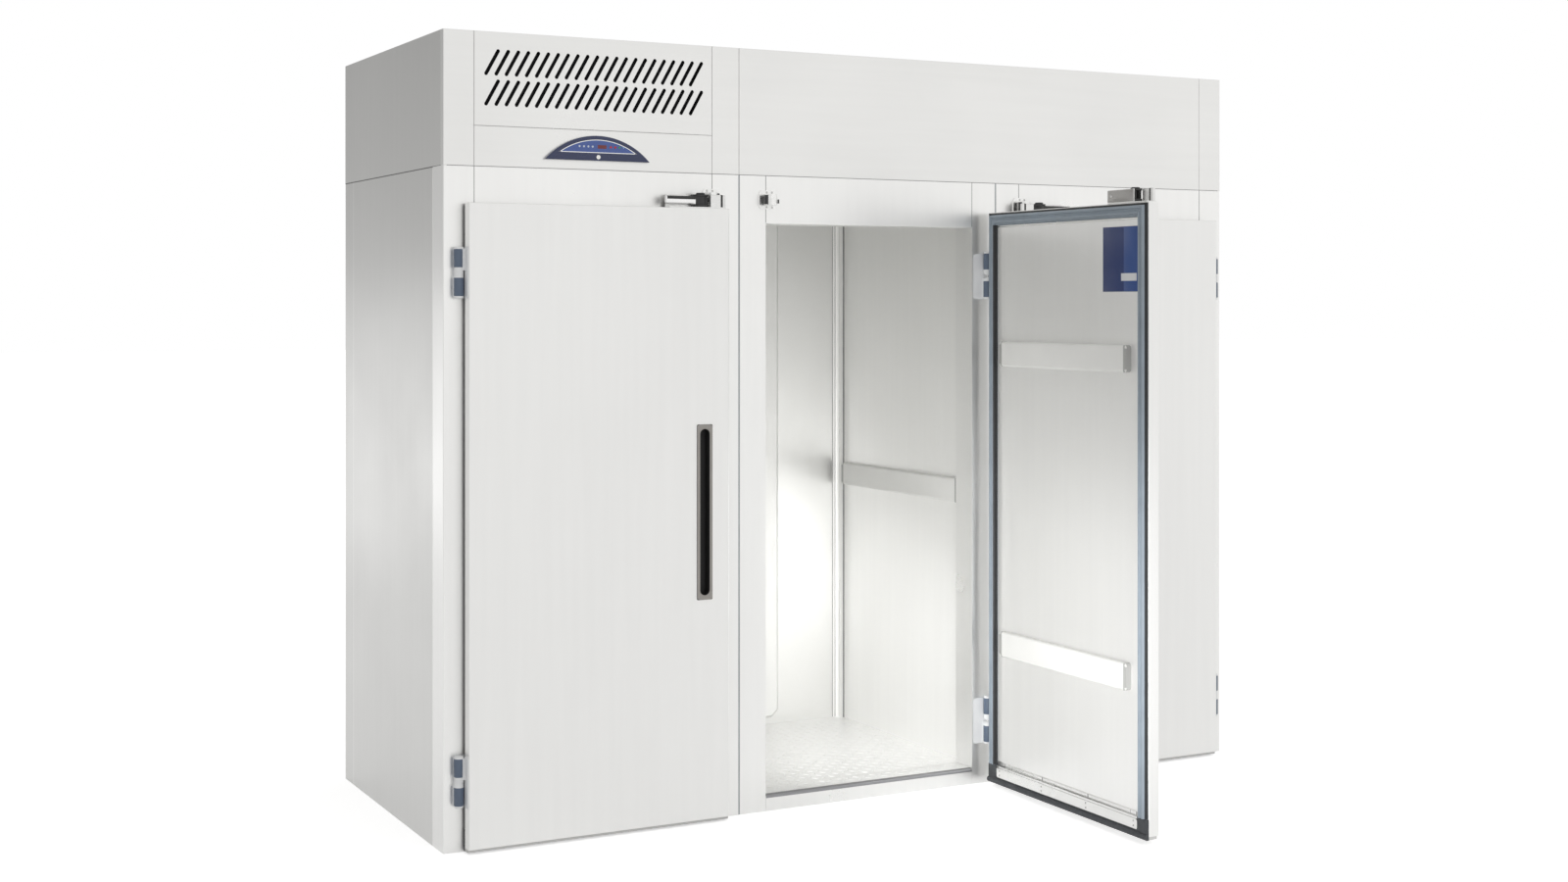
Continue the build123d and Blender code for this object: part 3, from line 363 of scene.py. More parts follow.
# Black on the gasket's flanks: painted shade, the shadow along the gasket's sides.
gasket_flank_shade = rubber("gasket_flank_shade", (0.022, 0.023, 0.025), 0.5)
sweep_rubber = rubber("sweep_rubber", SWEEP_BLACK, SWEEP_ROUGHNESS)
seam_grey = rubber("seam_grey", (0.22, 0.215, 0.22), 0.45)
joint_grey = rubber("joint_grey", (0.40, 0.42, 0.44), 0.45)
hinge_metal = painted("hinge_metal", (0.80, 0.81, 0.82), 0.36)
cap_slate = plastic("cap_slate", (0.105, 0.14, 0.20), 0.45)
pin_steel = polished("pin_steel", (0.70, 0.70, 0.70), 0.2)
screw_steel = polished("screw_steel", (0.62, 0.62, 0.61), 0.22)
strike_chrome = polished("strike_chrome", (0.84, 0.84, 0.83), 0.14)
lock_chrome = polished("lock_chrome", (0.80, 0.80, 0.78), 0.12)
lever_black = plastic("lever_black", (0.03, 0.03, 0.032), 0.35)
controller_blue = plastic("controller_blue", (0.012, 0.022, 0.085), 0.28, Coat_Weight=0.4)
lens_blue = plastic("lens_blue", (0.035, 0.085, 0.33), 0.20, Coat_Weight=0.6)
key_red = plastic("key_red", (0.62, 0.02, 0.02), 0.3)
symbol_pale = plastic("symbol_pale", (0.60, 0.65, 0.75), 0.4)
display_red = plastic("display_red", (0.16, 0.008, 0.008), 0.12, Coat_Weight=0.5)
lamp_green = plastic("lamp_green", (0.05, 0.35, 0.08), 0.25)
lamp_blue = plastic("lamp_blue", (0.25, 0.40, 0.62), 0.25)
label_blue = plastic("label_blue", (0.016, 0.035, 0.14), 0.35)
label_mid = plastic("label_mid", (0.028, 0.075, 0.26), 0.35)
label_pale = plastic("label_pale", (0.72, 0.73, 0.74), 0.4)
galvanised = spangled("galvanised", (0.60, 0.61, 0.62))
compressor_black = painted("compressor_black", (0.02, 0.02, 0.021), 0.25)
coil_aluminium = finned("coil_aluminium", (0.62, 0.63, 0.64))
coil_black = finned("coil_black", (0.020, 0.020, 0.021), pitch=0.003)
# Dark fine mesh for the sheet behind the grille: painted shade.
grille_backing_shade = finned("grille_backing_shade", (0.020, 0.021, 0.023), pitch=0.004)
shroud_black = painted("shroud_black", (0.035, 0.035, 0.038), 0.45)
fan_plastic = plastic("fan_plastic", (0.04, 0.04, 0.045), 0.45)
pipe_copper = polished("pipe_copper", (0.72, 0.38, 0.24), 0.28)


# Latches, strikes and sweeps: parts of one solid in other colours: black moulded parts, a painted
# dark reflection along each lever's grip, and painted light on each sweep under its door

HUB_HALF, HUB_NOSE = 0.020, 0.030
# Length and foot of the painted dark reflection along the top of the grip
REFLECTION_LONG, REFLECTION_FOOT = 0.113, 0.0248
CASE_LEFT, CASE_RIGHT = 0.026, 0.0262
CASE_FOOT, CASE_TOP = DOOR_TOP + 0.0032, LATCH_TOP + 0.001
CASE_BACK = FACE_Y - 0.0032
STRIPE_X = (PIVOT_X + 0.060, PIVOT_X + 0.067)
STOP_X = (PIVOT_X + 0.023, PIVOT_X + 0.0298)
STOP_Y = (LATCH_Y + 0.006, LATCH_Y + 0.017)
STOP_Z = (STRIKE_MIDDLE - 0.017, STRIKE_MIDDLE + 0.003)
# Reach of the painted light on each sweep, under its door
PALE_TOP, PALE_SLACK, PALE_BACK = 0.07, 0.01, FACE_Y - 0.0004


def lever_material(n):
    """Chrome, with a black hub, and black along the top of the grip: a painted dark reflection of the
    curved chrome.
    """
    hub_low = (PIVOT_X - HUB_HALF, LATCH_Y - HUB_HALF, DOOR_TOP)
    hub_high = (PIVOT_X + HUB_NOSE, LATCH_Y + HUB_HALF, LATCH_TOP)
    reflection_low = (PIVOT_X - REFLECTION_LONG, SKIN_Y - 0.02, DOOR_TOP + REFLECTION_FOOT)
    reflection_high = (PIVOT_X, FACE_Y, LATCH_TOP)
    black = [world_box(n, hub_low, hub_high), world_box(n, reflection_low, reflection_high)]
    return polished(f"lever_chrome_{n}", (0.82, 0.82, 0.82), 0.10, black)


def case_material(n):
    """Steel, with black cheeks round the pivot and a black stripe across the guard block."""
    cheeks_low = (PIVOT_X - CASE_LEFT, SKIN_Y, CASE_FOOT)
    cheeks_high = (PIVOT_X + CASE_RIGHT, CASE_BACK, CASE_TOP)
    stripe_low = (STRIPE_X[0], SKIN_Y, CASE_FOOT)
    stripe_high = (STRIPE_X[1], CASE_BACK, CASE_TOP)
    black = [world_box(n, cheeks_low, cheeks_high), world_box(n, stripe_low, stripe_high)]
    return polished(f"case_steel_{n}", (0.78, 0.78, 0.77), 0.30, black)


def strike_material():
    """Steel, with a black stop in each strike."""
    low, high = zip(STOP_X, STOP_Y, STOP_Z)
    black = [world_box(n, low, high, turned=False) for n in CENTRES]
    return polished("strike_steel", (0.86, 0.86, 0.85), 0.26, black)


def sweep_material(n):
    """Dark rubber, painted pale grey under the door: painted light where the rubber would show as a
    dark line.
    """
    low = (DOOR_LEFT - PALE_SLACK, SKIN_Y - PALE_SLACK, 0.0)
    high = (DOOR_RIGHT + PALE_SLACK, PALE_BACK, PALE_TOP)
    return rubber(f"sweep_{n}", SWEEP_BLACK, SWEEP_ROUGHNESS, world_box(n, low, high))


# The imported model's nodes and what each is made of

DRESS = {
    "side_panels": cabinet_steel,
    "partitions": liner_steel,
    "back_panels": cabinet_steel,
    "roof_panels": liner_steel,
    "bay_floors": tread_steel,
    "front_frame": frame_steel,
    "duct_covers": liner_steel,
    "wall_bumpers": rail_white,
    "fascia_posts": fascia_steel,
    "grille_panel": fascia_steel,
    "control_panel": fascia_steel,
    "fascia_panel": fascia_steel,
    "top_covers": cabinet_steel,
    "controller_housing": controller_blue,
    "plant_tray": galvanised,
    "condenser_coil": coil_black,
    "fan_shroud": shroud_black,
    "compressor": compressor_black,
    "evaporator_boxes": galvanised,
    "evaporator_coils": coil_aluminium,
    "refrigerant_pipes": pipe_copper,
    "frame_hinges": hinge_metal,
    "strikes": strike_material(),
    "key_up": key_red,
    "key_down": key_red,
    "key_lock": lock_chrome,
    "condenser_fan": fan_plastic,
}
DOOR_DRESS = {
    "door_panel": door_steel,
    "handle_cup": handle_black,
    "gasket": gasket_grey,
    "door_rails": rail_white,
    "sweep_strip": strip_steel,
    "door_hinges": hinge_metal,
    "hinge_pins": pin_steel,
    "evaporator_fan": fan_plastic,
}
for n in CENTRES:
    for kind, material in DOOR_DRESS.items():
        DRESS[f"{kind}_{n}"] = material
    DRESS[f"latch_lever_{n}"] = lever_material(n)
    DRESS[f"latch_case_{n}"] = case_material(n)
    DRESS[f"door_sweep_{n}"] = sweep_material(n)
for name, node in nodes.items():
    node.data.materials.clear()
    node.data.materials.append(DRESS[name])


# Mesh building

SMOOTH_UP_TO = math.radians(35)
SCREW_PROUD, SCREW_SIDES = 0.0016, 16
AIM = {
    "-Y": Matrix.Rotation(math.pi / 2, 4, "X"),
    "+Y": Matrix.Rotation(-math.pi / 2, 4, "X"),
}
# Which axes an outline's two values and its depth lie along
PLANES = {"XZ": (0, 2, 1), "XY": (0, 1, 2), "YZ": (1, 2, 0)}


def new_piece(name, bm, material, body, matrix=None):
    """Turns a bmesh into an object that rides on a body, after putting it in its place."""
    if matrix is not None:
        bmesh.ops.transform(bm, matrix=matrix, verts=bm.verts)
    bmesh.ops.recalc_face_normals(bm, faces=bm.faces)
    mesh = bpy.data.meshes.new(name)
    bm.to_mesh(mesh)
    bm.free()
    for face in mesh.polygons:
        face.use_smooth = True
    mesh.set_sharp_from_angle(angle=SMOOTH_UP_TO)
    mesh.materials.append(material)
    obj = bpy.data.objects.new(name, mesh)
    bpy.context.scene.collection.objects.link(obj)
    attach(obj, body)


def door_piece(name, bm, material, n):
    """A piece of door n, built in the door's own frame."""
    new_piece(f"{name}_{n}", bm, material, f"door_{n}", door_matrix(n))


def lathe(bm, profile, matrix, segments=24):
    """A closed turned form about its own Z, from (radius, height) points that run bottom to top."""
    rings = []
    for radius, height in profile:
        ring = []
        for i in range(segments):
            a = 2 * math.pi * i / segments
            point = Vector((radius * math.cos(a), radius * math.sin(a), height))
            ring.append(bm.verts.new(matrix @ point))
        rings.append(ring)
    for low, high in zip(rings, rings[1:]):
        for i in range(segments):
            j = (i + 1) % segments
            bm.faces.new((low[i], low[j], high[j], high[i]))
    bm.faces.new(rings[0][::-1])
    bm.faces.new(rings[-1])


def join(bm, other):
    """Adds another bmesh's geometry and frees it."""
    mesh = bpy.data.meshes.new("joined")
    other.to_mesh(mesh)
    other.free()
    bm.from_mesh(mesh)
    bpy.data.meshes.remove(mesh)


def slab(bm, low, high, radius=0.0, segments=2):
    """A box between two corners, its edges rounded where a radius is given."""
    made = bmesh.ops.create_cube(bm, size=1.0)
    size = [b - a for a, b in zip(low, high)]
    centre = [(a + b) / 2 for a, b in zip(low, high)]
    bmesh.ops.scale(bm, vec=size, verts=made["verts"])
    bmesh.ops.translate(bm, vec=centre, verts=made["verts"])
    if radius:
        edges = list({e for v in made["verts"] for e in v.link_edges})
        bmesh.ops.bevel(
            bm, geom=edges, offset=radius, segments=segments, affect="EDGES", profile=0.5
        )


def plate(bm, outline, low, high, plane="XZ"):
    """A flat prism: an outline in one plane, between two values on the third axis."""

    def point(*values):
        place = [0.0, 0.0, 0.0]
        for axis, value in zip(PLANES[plane], values):
            place[axis] = value
        return place

    bottom = [bm.verts.new(point(a, b, low)) for a, b in outline]
    top = [bm.verts.new(point(a, b, high)) for a, b in outline]
    bm.faces.new(bottom[::-1])
    bm.faces.new(top)
    for i in range(len(outline)):
        j = (i + 1) % len(outline)
        bm.faces.new((bottom[i], bottom[j], top[j], top[i]))


def arc(centre, radius, start, end, steps):
    """Points on a circle between two angles in degrees."""
    angles = [math.radians(start + (end - start) * i / steps) for i in range(steps + 1)]
    return [(centre[0] + radius * math.cos(a), centre[1] + radius * math.sin(a)) for a in angles]


def strip(bm, a, b, low, high, closed=False):
    """A thin band between two lines of points in XZ, between two depths; a closed one runs round."""
    layers = [[[bm.verts.new((x, y, z)) for x, z in line] for y in (low, high)] for line in (a, b)]
    (a0, a1), (b0, b1) = layers
    for i in range(len(a) if closed else len(a) - 1):
        j = (i + 1) % len(a)
        bm.faces.new((a0[i], a0[j], b0[j], b0[i]))
        bm.faces.new((a1[i], a1[j], b1[j], b1[i]))
        bm.faces.new((a0[i], a0[j], a1[j], a1[i]))
        bm.faces.new((b0[i], b0[j], b1[j], b1[i]))
    if not closed:
        for i in (0, -1):
            bm.faces.new((a0[i], b0[i], b1[i], a1[i]))


def spaced(start, end, count):
    """Evenly spaced values from start to end."""
    return [start + i * (end - start) / (count - 1) for i in range(count)]


def screw_head(bm, at, aim, radius):
    """A pan head with a round recess."""
    proud = SCREW_PROUD
    turn = Matrix.Translation(at) @ AIM[aim]
    dome = [(radius, 0.0), (radius, proud * 0.4), (radius * 0.86, proud * 0.8), (radius * 0.5, proud)]
    recess = [(radius * 0.44, proud), (radius * 0.3, proud * 0.45), (radius * 0.05, proud * 0.35)]
    lathe(bm, dome + recess, turn, SCREW_SIDES)


def door_screws(name, n, places, radius):
    """Screws that look inwards from door n's inner face."""
    bm = bmesh.new()
    for at in places:
        screw_head(bm, at, "+Y", radius)
    door_piece(name, bm, screw_steel, n)


# Bay floors: tread plate, raised lugs set in alternating directions

LUG_PITCH, LUG_TURN, LUG_SIDES = 0.030, math.radians(45), 8
LUG_LONG, LUG_WIDE, LUG_TALL, LUG_ROOT = 0.011, 0.0032, 0.0014, 0.0002
RIDGE_LONG, RIDGE_WIDE = 0.7 * LUG_LONG, 0.4 * LUG_WIDE
TREAD_WIDE, TREAD_EDGE, TREAD_SPARE = 0.76, 0.025, 0.04


def lug_ring(bm, x, y, turn, long, wide, z):
    """An ellipse of points round a lug, turned about its middle."""
    c, s = math.cos(turn), math.sin(turn)
    ring = []
    for i in range(LUG_SIDES):
        a = 2 * math.pi * i / LUG_SIDES
        u, v = long * math.cos(a), wide * math.sin(a)
        ring.append(bm.verts.new((x + c * u - s * v, y + s * u + c * v, z)))
    return ring


def lug(bm, x, y, turn, base):
    """One raised lens of the tread pattern."""
    rim = lug_ring(bm, x, y, turn, LUG_LONG, LUG_WIDE, base - LUG_ROOT)
    ridge = lug_ring(bm, x, y, turn, RIDGE_LONG, RIDGE_WIDE, base + LUG_TALL)
    for i in range(LUG_SIDES):
        j = (i + 1) % LUG_SIDES
        bm.faces.new((rim[i], rim[j], ridge[j], ridge[i]))
    bm.faces.new(ridge)
    bm.faces.new(rim[::-1])


def lug_rows(bm, corner, columns, rows, base):
    """Lugs in rows from one corner."""
    for i in range(columns):
        for j in range(rows):
            turn = LUG_TURN if (i + j) % 2 else -LUG_TURN
            lug(bm, corner[0] + i * LUG_PITCH, corner[1] + j * LUG_PITCH, turn, base)


gaps_across = int(TREAD_WIDE / LUG_PITCH)
rows_deep = int((WALL_BACK - BAY_FRONT - TREAD_SPARE) / LUG_PITCH)
for n, bay_x in CENTRES.items():
    bm = bmesh.new()
    corner = (bay_x - gaps_across / 2 * LUG_PITCH, BAY_FRONT + TREAD_EDGE)
    lug_rows(bm, corner, gaps_across + 1, rows_deep, FLOOR_TOP)
    new_piece(f"tread_lugs_{n}", bm, tread_steel, "cabinet")


# Bays: thin dark grey beads and a bright trim along the rear coves, by angle and width

BEADS = [(86, 0.0024), (70, 0.0024), (14, 0.0065)]
TRIMS = [(45, 0.0030)]
BEAD_SUNK, BEAD_PROUD, BEAD_TAPER, BEAD_STEPS = 0.0002, 0.0012, 1, 3
END_GAP = 0.001


def cove_lines(lines):
    """Thin bands that run up the rear corners of every bay."""
    bm = bmesh.new()
    centre_y = WALL_BACK - COVE
    for bay_x, side in itertools.product(CENTRES.values(), (-1, 1)):
        centre_x = bay_x + side * (BAY_HALF - COVE)
        for angle, wide in lines:
            half = math.degrees(wide / COVE) / 2
            outer = arc((0, 0), COVE + BEAD_SUNK, angle - half, angle + half, BEAD_STEPS)
            start, end = angle + half - BEAD_TAPER, angle - half + BEAD_TAPER
            inner = arc((0, 0), COVE - BEAD_PROUD, start, end, BEAD_STEPS)
            outline = [(centre_x + side * x, centre_y + y) for x, y in outer + inner]
            plate(bm, outline, FLOOR_TOP + END_GAP, CEILING - END_GAP, "XY")
    return bm


new_piece("cove_beads", cove_lines(BEADS), seam_grey, "cabinet")
new_piece("cove_trims", cove_lines(TRIMS), strip_steel, "cabinet")


# Sills: a rounded nosing and a narrow tread plate behind it; the nosing's dark grey is painted shade
# along the sill's front edge

NOSE_DEEP, NOSE_TALL, NOSE_ROUND = 0.013, 0.0100, 0.0040
NOSE_PROUD, NOSE_SKIN, NOSE_SUNK = 0.0012, 0.0008, 0.0002
NOSE_EYE, NOSE_SHOULDER = 0.0034, 0.0060
NOSE_ANGLES = (0.4, 0.8, 1.2)
SILL_PLATE, SILL_PLATE_DEEP = 0.0006, 0.094
SILL_EDGE, SILL_ROWS = 0.020, 2

nose = [(FRONT - NOSE_PROUD, SILL_TOP - NOSE_TALL), (FRONT - NOSE_PROUD, SILL_TOP - NOSE_ROUND)]
for a in NOSE_ANGLES:
    y = FRONT + NOSE_ROUND - NOSE_PROUD - NOSE_ROUND * math.cos(a)
    nose.append((y, SILL_TOP - NOSE_EYE + NOSE_ROUND * math.sin(a)))
nose += [(FRONT + NOSE_ROUND, SILL_TOP + NOSE_SKIN), (FRONT + NOSE_DEEP, SILL_TOP + NOSE_SKIN)]
nose += [(FRONT + NOSE_DEEP, SILL_TOP - NOSE_SUNK), (FRONT + NOSE_SUNK, SILL_TOP - NOSE_SHOULDER)]
nose += [(FRONT + NOSE_SUNK, SILL_TOP - NOSE_TALL)]
bm = bmesh.new()
tread = bmesh.new()
for bay_x in CENTRES.values():
    left, right = bay_x - OPENING_HALF + END_GAP, bay_x + OPENING_HALF - END_GAP
    plate(bm, nose, left, right, "YZ")
    low = (left, FRONT + NOSE_DEEP, SILL_TOP - NOSE_SUNK)
    high = (right, FRONT + SILL_PLATE_DEEP, SILL_TOP + SILL_PLATE)
    slab(tread, low, high, 0.0002)
    columns = int((right - left) / LUG_PITCH)
    lug_rows(tread, (left + SILL_EDGE, low[1] + TREAD_EDGE), columns, SILL_ROWS, high[2])
new_piece("sill_nosings", bm, threshold_painted_shade, "cabinet")
new_piece("sill_treads", tread, tread_steel, "cabinet")


# Front frame: sealed joints between the modules, beside each lintel and under the fascia

MODULE_JOINT, HAIRLINE = 0.0050, 0.0018
SEAL_PROUD, SEAL_SUNK, SEAL_ROUND = 0.0003, 0.0010, 0.0001
LINTEL_GAP, CORNER_GAP = 0.003, 0.010


def seal(bm, x, z):
    """A joint on the front between two values of X and of Z."""
    low, high = (x[0], FRONT - SEAL_PROUD, z[0]), (x[1], FRONT + SEAL_SUNK, z[1])
    slab(bm, low, high, SEAL_ROUND, 1)


bm = bmesh.new()
for middle in (-MODULE / 2, MODULE / 2):
    sides = (middle - MODULE_JOINT / 2, middle + MODULE_JOINT / 2)
    seal(bm, sides, (END_GAP, COLD_HEIGHT - END_GAP))
new_piece("module_joints", bm, joint_grey, "cabinet")
bm = bmesh.new()
for bay_x, side in itertools.product(CENTRES.values(), (-1, 1)):
    middle = bay_x + side * OPENING_HALF
    sides = (middle - HAIRLINE / 2, middle + HAIRLINE / 2)
    seal(bm, sides, (OPENING_TOP + LINTEL_GAP, COLD_HEIGHT - END_GAP))
full_width = (-WIDTH / 2 + CORNER_GAP, WIDTH / 2 - CORNER_GAP)
seal(bm, full_width, (COLD_HEIGHT - HAIRLINE / 2, COLD_HEIGHT + HAIRLINE / 2))
new_piece("frame_hairlines", bm, seam_grey, "cabinet")


# Rail ends: grey caps that close each bumper rail

RAIL_TALL, RAIL_THICK, RAIL_ROUND = 0.078, 0.020, 0.010
CAP_LONG, CAP_SKIN, CAP_BEVEL = 0.012, 0.0004, 0.006
DOOR_RAIL_HEIGHTS, DOOR_RAIL_INSET = (1.367, 0.455), 0.080
WALL_RAIL_HEIGHT, WALL_RAIL_GAP = 0.927, 0.010


def rail_cap(bm, end, matrix):
    """A cap over one end of a rail that lies along X on y = 0 and stands out towards -Y."""
    made = bmesh.new()
    half = RAIL_TALL / 2
    outline = arc((-RAIL_ROUND, half - RAIL_ROUND), RAIL_ROUND + CAP_SKIN, 90, 0, 5)
    outline += arc((-RAIL_ROUND, RAIL_ROUND - half), RAIL_ROUND + CAP_SKIN, 0, -90, 5)
    outline += [(-CAP_LONG, -half - CAP_SKIN), (-CAP_LONG, half + CAP_SKIN)]
    plate(made, outline, -RAIL_THICK - CAP_SKIN, -0.0005)
    front = [e for e in made.edges if all(v.co.y < -RAIL_THICK + 0.001 for v in e.verts)]
    rim = [e for e in front if not all(abs(v.co.x + CAP_LONG) < 1e-5 for v in e.verts)]
    bmesh.ops.bevel(made, geom=rim, offset=CAP_BEVEL, segments=3, affect="EDGES", profile=0.5)
    flip = Matrix.Diagonal((end, 1, 1, 1))
    bmesh.ops.transform(made, matrix=matrix @ flip, verts=made.verts)
    join(bm, made)


door_rail_half = DOOR_WIDTH / 2 - DOOR_RAIL_INSET
for n in CENTRES:
    bm = bmesh.new()
    for height, end in itertools.product(DOOR_RAIL_HEIGHTS, (-1, 1)):
        seat = Matrix.Translation((DOOR_MIDDLE + end * door_rail_half, FACE_Y, height))
        rail_cap(bm, end, seat @ Matrix.Diagonal((1, -1, 1, 1)))
    door_piece("door_rail_caps", bm, rail_grey, n)

wall_rail_ends = {-1: BAY_FRONT + WALL_RAIL_GAP, 1: WALL_BACK - COVE - WALL_RAIL_GAP}
bm = bmesh.new()
for bay_x, side in itertools.product(CENTRES.values(), (-1, 1)):
    for end, rail_y in wall_rail_ends.items():
        turn = Matrix.Rotation(-side * math.pi / 2, 4, "Z")
        seat = Matrix.Translation((bay_x + side * BAY_HALF, rail_y, WALL_RAIL_HEIGHT)) @ turn
        rail_cap(bm, -side * end, seat)
new_piece("wall_rail_caps", bm, rail_grey, "cabinet")


# Door sweeps: screws in upright pairs, a slotted flange above them and a block at each end

STRIP_FRONT = FACE_Y + 0.0073
SCREW_ROWS, PAIR_INSET, PAIRS = (0.0345, 0.0480), 0.018, 4
SWEEP_LOW, SWEEP_HIGH = 0.0225, 0.0634
STRIP_TOP, STRIP_FOOT = 0.0562, 0.0258
FLANGE_FOOT, FLANGE_TOP = 0.0622, 0.0765
FLANGE_SKIN, LIP_SKIN, LIP_OUT = 0.0014, 0.0018, 0.0066
END_LONG, END_ROUND, END_SIDE_GAP = 0.043, 0.007, 0.0004
SLOT_INSET, SLOT_ROUND, SLOT_ENDS = 0.010, 0.0022, (0.0665, 0.0725)
MARK_INSET, MARK_HALF, MARK_ENDS = 0.030, 0.0007, (0.0640, 0.0745)
SLOT_Y = (FACE_Y + 0.0010, FACE_Y + 0.0017)

flange_x = (DOOR_LEFT + END_LONG, DOOR_RIGHT - END_LONG)
pair_x = spaced(flange_x[0] + PAIR_INSET, flange_x[1] - PAIR_INSET, PAIRS)
slot_x = spaced(flange_x[0] + SLOT_INSET, flange_x[1] - SLOT_INSET, PAIRS)


def flange_bar(bm, out, z, radius):
    """A bar as long as the flange, between two distances out of the door and two heights."""
    low, high = (flange_x[0], FACE_Y + out[0], z[0]), (flange_x[1], FACE_Y + out[1], z[1])
    slab(bm, low, high, radius)


def sweep_end(bm, outer, inner):
    """A block over the rubber's end, with rounded inner corners where the strip stops."""
    way = 1 if inner > outer else -1
    hollow = arc((0, STRIP_TOP - END_ROUND), END_ROUND, 90, 180, 5)
    hollow += arc((0, STRIP_FOOT + END_ROUND), END_ROUND, 180, 270, 5)
    outline = [(inner + way * (END_ROUND + x), z) for x, z in hollow]
    outline += [(inner + way * END_ROUND, SWEEP_LOW), (outer, SWEEP_LOW)]
    outline += [(outer, SWEEP_HIGH), (inner, SWEEP_HIGH), (inner, STRIP_TOP)]
    plate(bm, outline, FACE_Y + 0.0046, FACE_Y + 0.0088)


for n in CENTRES:
    places = [(x, STRIP_FRONT, z) for x, z in itertools.product(pair_x, SCREW_ROWS)]
    door_screws("sweep_screws", n, places, 0.0030)

    bm = bmesh.new()
    flange_bar(bm, (0, FLANGE_SKIN), (FLANGE_FOOT, FLANGE_TOP), 0.0005)
    flange_bar(bm, (0.0008, LIP_OUT), (FLANGE_FOOT, SWEEP_HIGH), 0.0004)
    flange_bar(bm, (LIP_OUT - LIP_SKIN, LIP_OUT), (STRIP_TOP, SWEEP_HIGH), 0.0004)
    door_piece("sweep_flange", bm, strip_steel, n)

    bm = bmesh.new()
    sweep_end(bm, DOOR_LEFT + END_SIDE_GAP, flange_x[0])
    sweep_end(bm, DOOR_RIGHT - END_SIDE_GAP, flange_x[1])
    door_piece("sweep_ends", bm, sweep_rubber, n)

    bm = bmesh.new()
    for x in slot_x:
        ends = arc((x, SLOT_ENDS[1]), SLOT_ROUND, 0, 180, 6)
        ends += arc((x, SLOT_ENDS[0]), SLOT_ROUND, 180, 360, 6)
        plate(bm, ends, *SLOT_Y)
    for x in (slot_x[0] + MARK_INSET, slot_x[-1] - MARK_INSET):
        low, high = zip((x - MARK_HALF, x + MARK_HALF), SLOT_Y, MARK_ENDS)
        slab(bm, low, high, 0.0002)
    door_piece("sweep_slots", bm, seam_grey, n)


# Grille: a dark sheet behind it, in front of the condenser: painted shade that keeps the grille's
# slots dark

BACKING_INSET, BACKING_GAP, BACKING_THICK = 0.004, 0.0005, 0.008

grille_low, grille_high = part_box("grille_panel")
backing_y = grille_high.y + BACKING_GAP
bm = bmesh.new()
slab(
    bm,
    (grille_low.x + BACKING_INSET, backing_y, grille_low.z + BACKING_INSET),
    (grille_high.x - BACKING_INSET, backing_y + BACKING_THICK, grille_high.z - BACKING_INSET),
)
new_piece("grille_shade_sheet", bm, grille_backing_shade, "cabinet")


# Latches: black knob over the pivot, and a grey bracket on the inner side with one screw

KNOB = [(0.0125, 0.0), (0.0135, 0.0012), (0.0135, 0.0035), (0.0115, 0.0052), (0.0050, 0.0056)]
KNOB_SIDES = 28
BRACKET_X = (PIVOT_X - 0.1035, PIVOT_X + 0.0165)
BRACKET_Y = (FACE_Y - 0.0004, FACE_Y + 0.0008)
BRACKET_Z = (DOOR_TOP + 0.0042, DOOR_TOP + 0.0388)
BRACKET_SCREW = (PIVOT_X - 0.086, FACE_Y + 0.0006, DOOR_TOP + 0.023)

for n in CENTRES:
    bm = bmesh.new()
    lathe(bm, KNOB, Matrix.Translation((PIVOT_X, LATCH_Y, LATCH_TOP - 0.0002)), KNOB_SIDES)
    door_piece("latch_knob", bm, lever_black, n)
    bm = bmesh.new()
    low, high = zip(BRACKET_X, BRACKET_Y, BRACKET_Z)
    slab(bm, low, high, 0.0004)
    door_piece("latch_bracket_face", bm, bracket_grey, n)
    door_screws("bracket_screws", n, [BRACKET_SCREW], 0.0046)


# Strikes: a black sleeve on each roller, and four screws in each plate

SLEEVE_HALF, SLEEVE_STEP, SLEEVE_BREAK = 0.0150, 0.0006, 0.0014
SLEEVE_RADII = (0.0040, 0.0058, 0.0064)
ROLLER_X, ROLLER_Y = PIVOT_X + 0.063, LATCH_Y + 0.014
STRIKE_SCREW_X, STRIKE_SCREW_Z = (PIVOT_X + 0.036, PIVOT_X + 0.054), 0.0225
STRIKE_SCREW_Y = 0.0122

sleeve = list(zip(SLEEVE_RADII, (0.0, SLEEVE_STEP, SLEEVE_BREAK)))
sleeve += [(radius, 2 * SLEEVE_HALF - height) for radius, height in sleeve[::-1]]
bm = bmesh.new()
for n in CENTRES:
    made = bmesh.new()
    lathe(made, sleeve, Matrix.Translation((ROLLER_X, ROLLER_Y, STRIKE_MIDDLE - SLEEVE_HALF)))
    bmesh.ops.transform(made, matrix=door_matrix(n, turned=False), verts=made.verts)
    join(bm, made)
new_piece("strike_rollers", bm, lever_black, "cabinet")
bm = bmesh.new()
for n, x, side in itertools.product(CENTRES, STRIKE_SCREW_X, (-1, 1)):
    spot = Vector((x, STRIKE_SCREW_Y, STRIKE_MIDDLE + side * STRIKE_SCREW_Z))
    screw_head(bm, door_matrix(n, turned=False) @ spot, "-Y", 0.0036)
new_piece("strike_screws", bm, screw_steel, "cabinet")


# Controller: bright line round the lens, display, lamps and membrane symbols

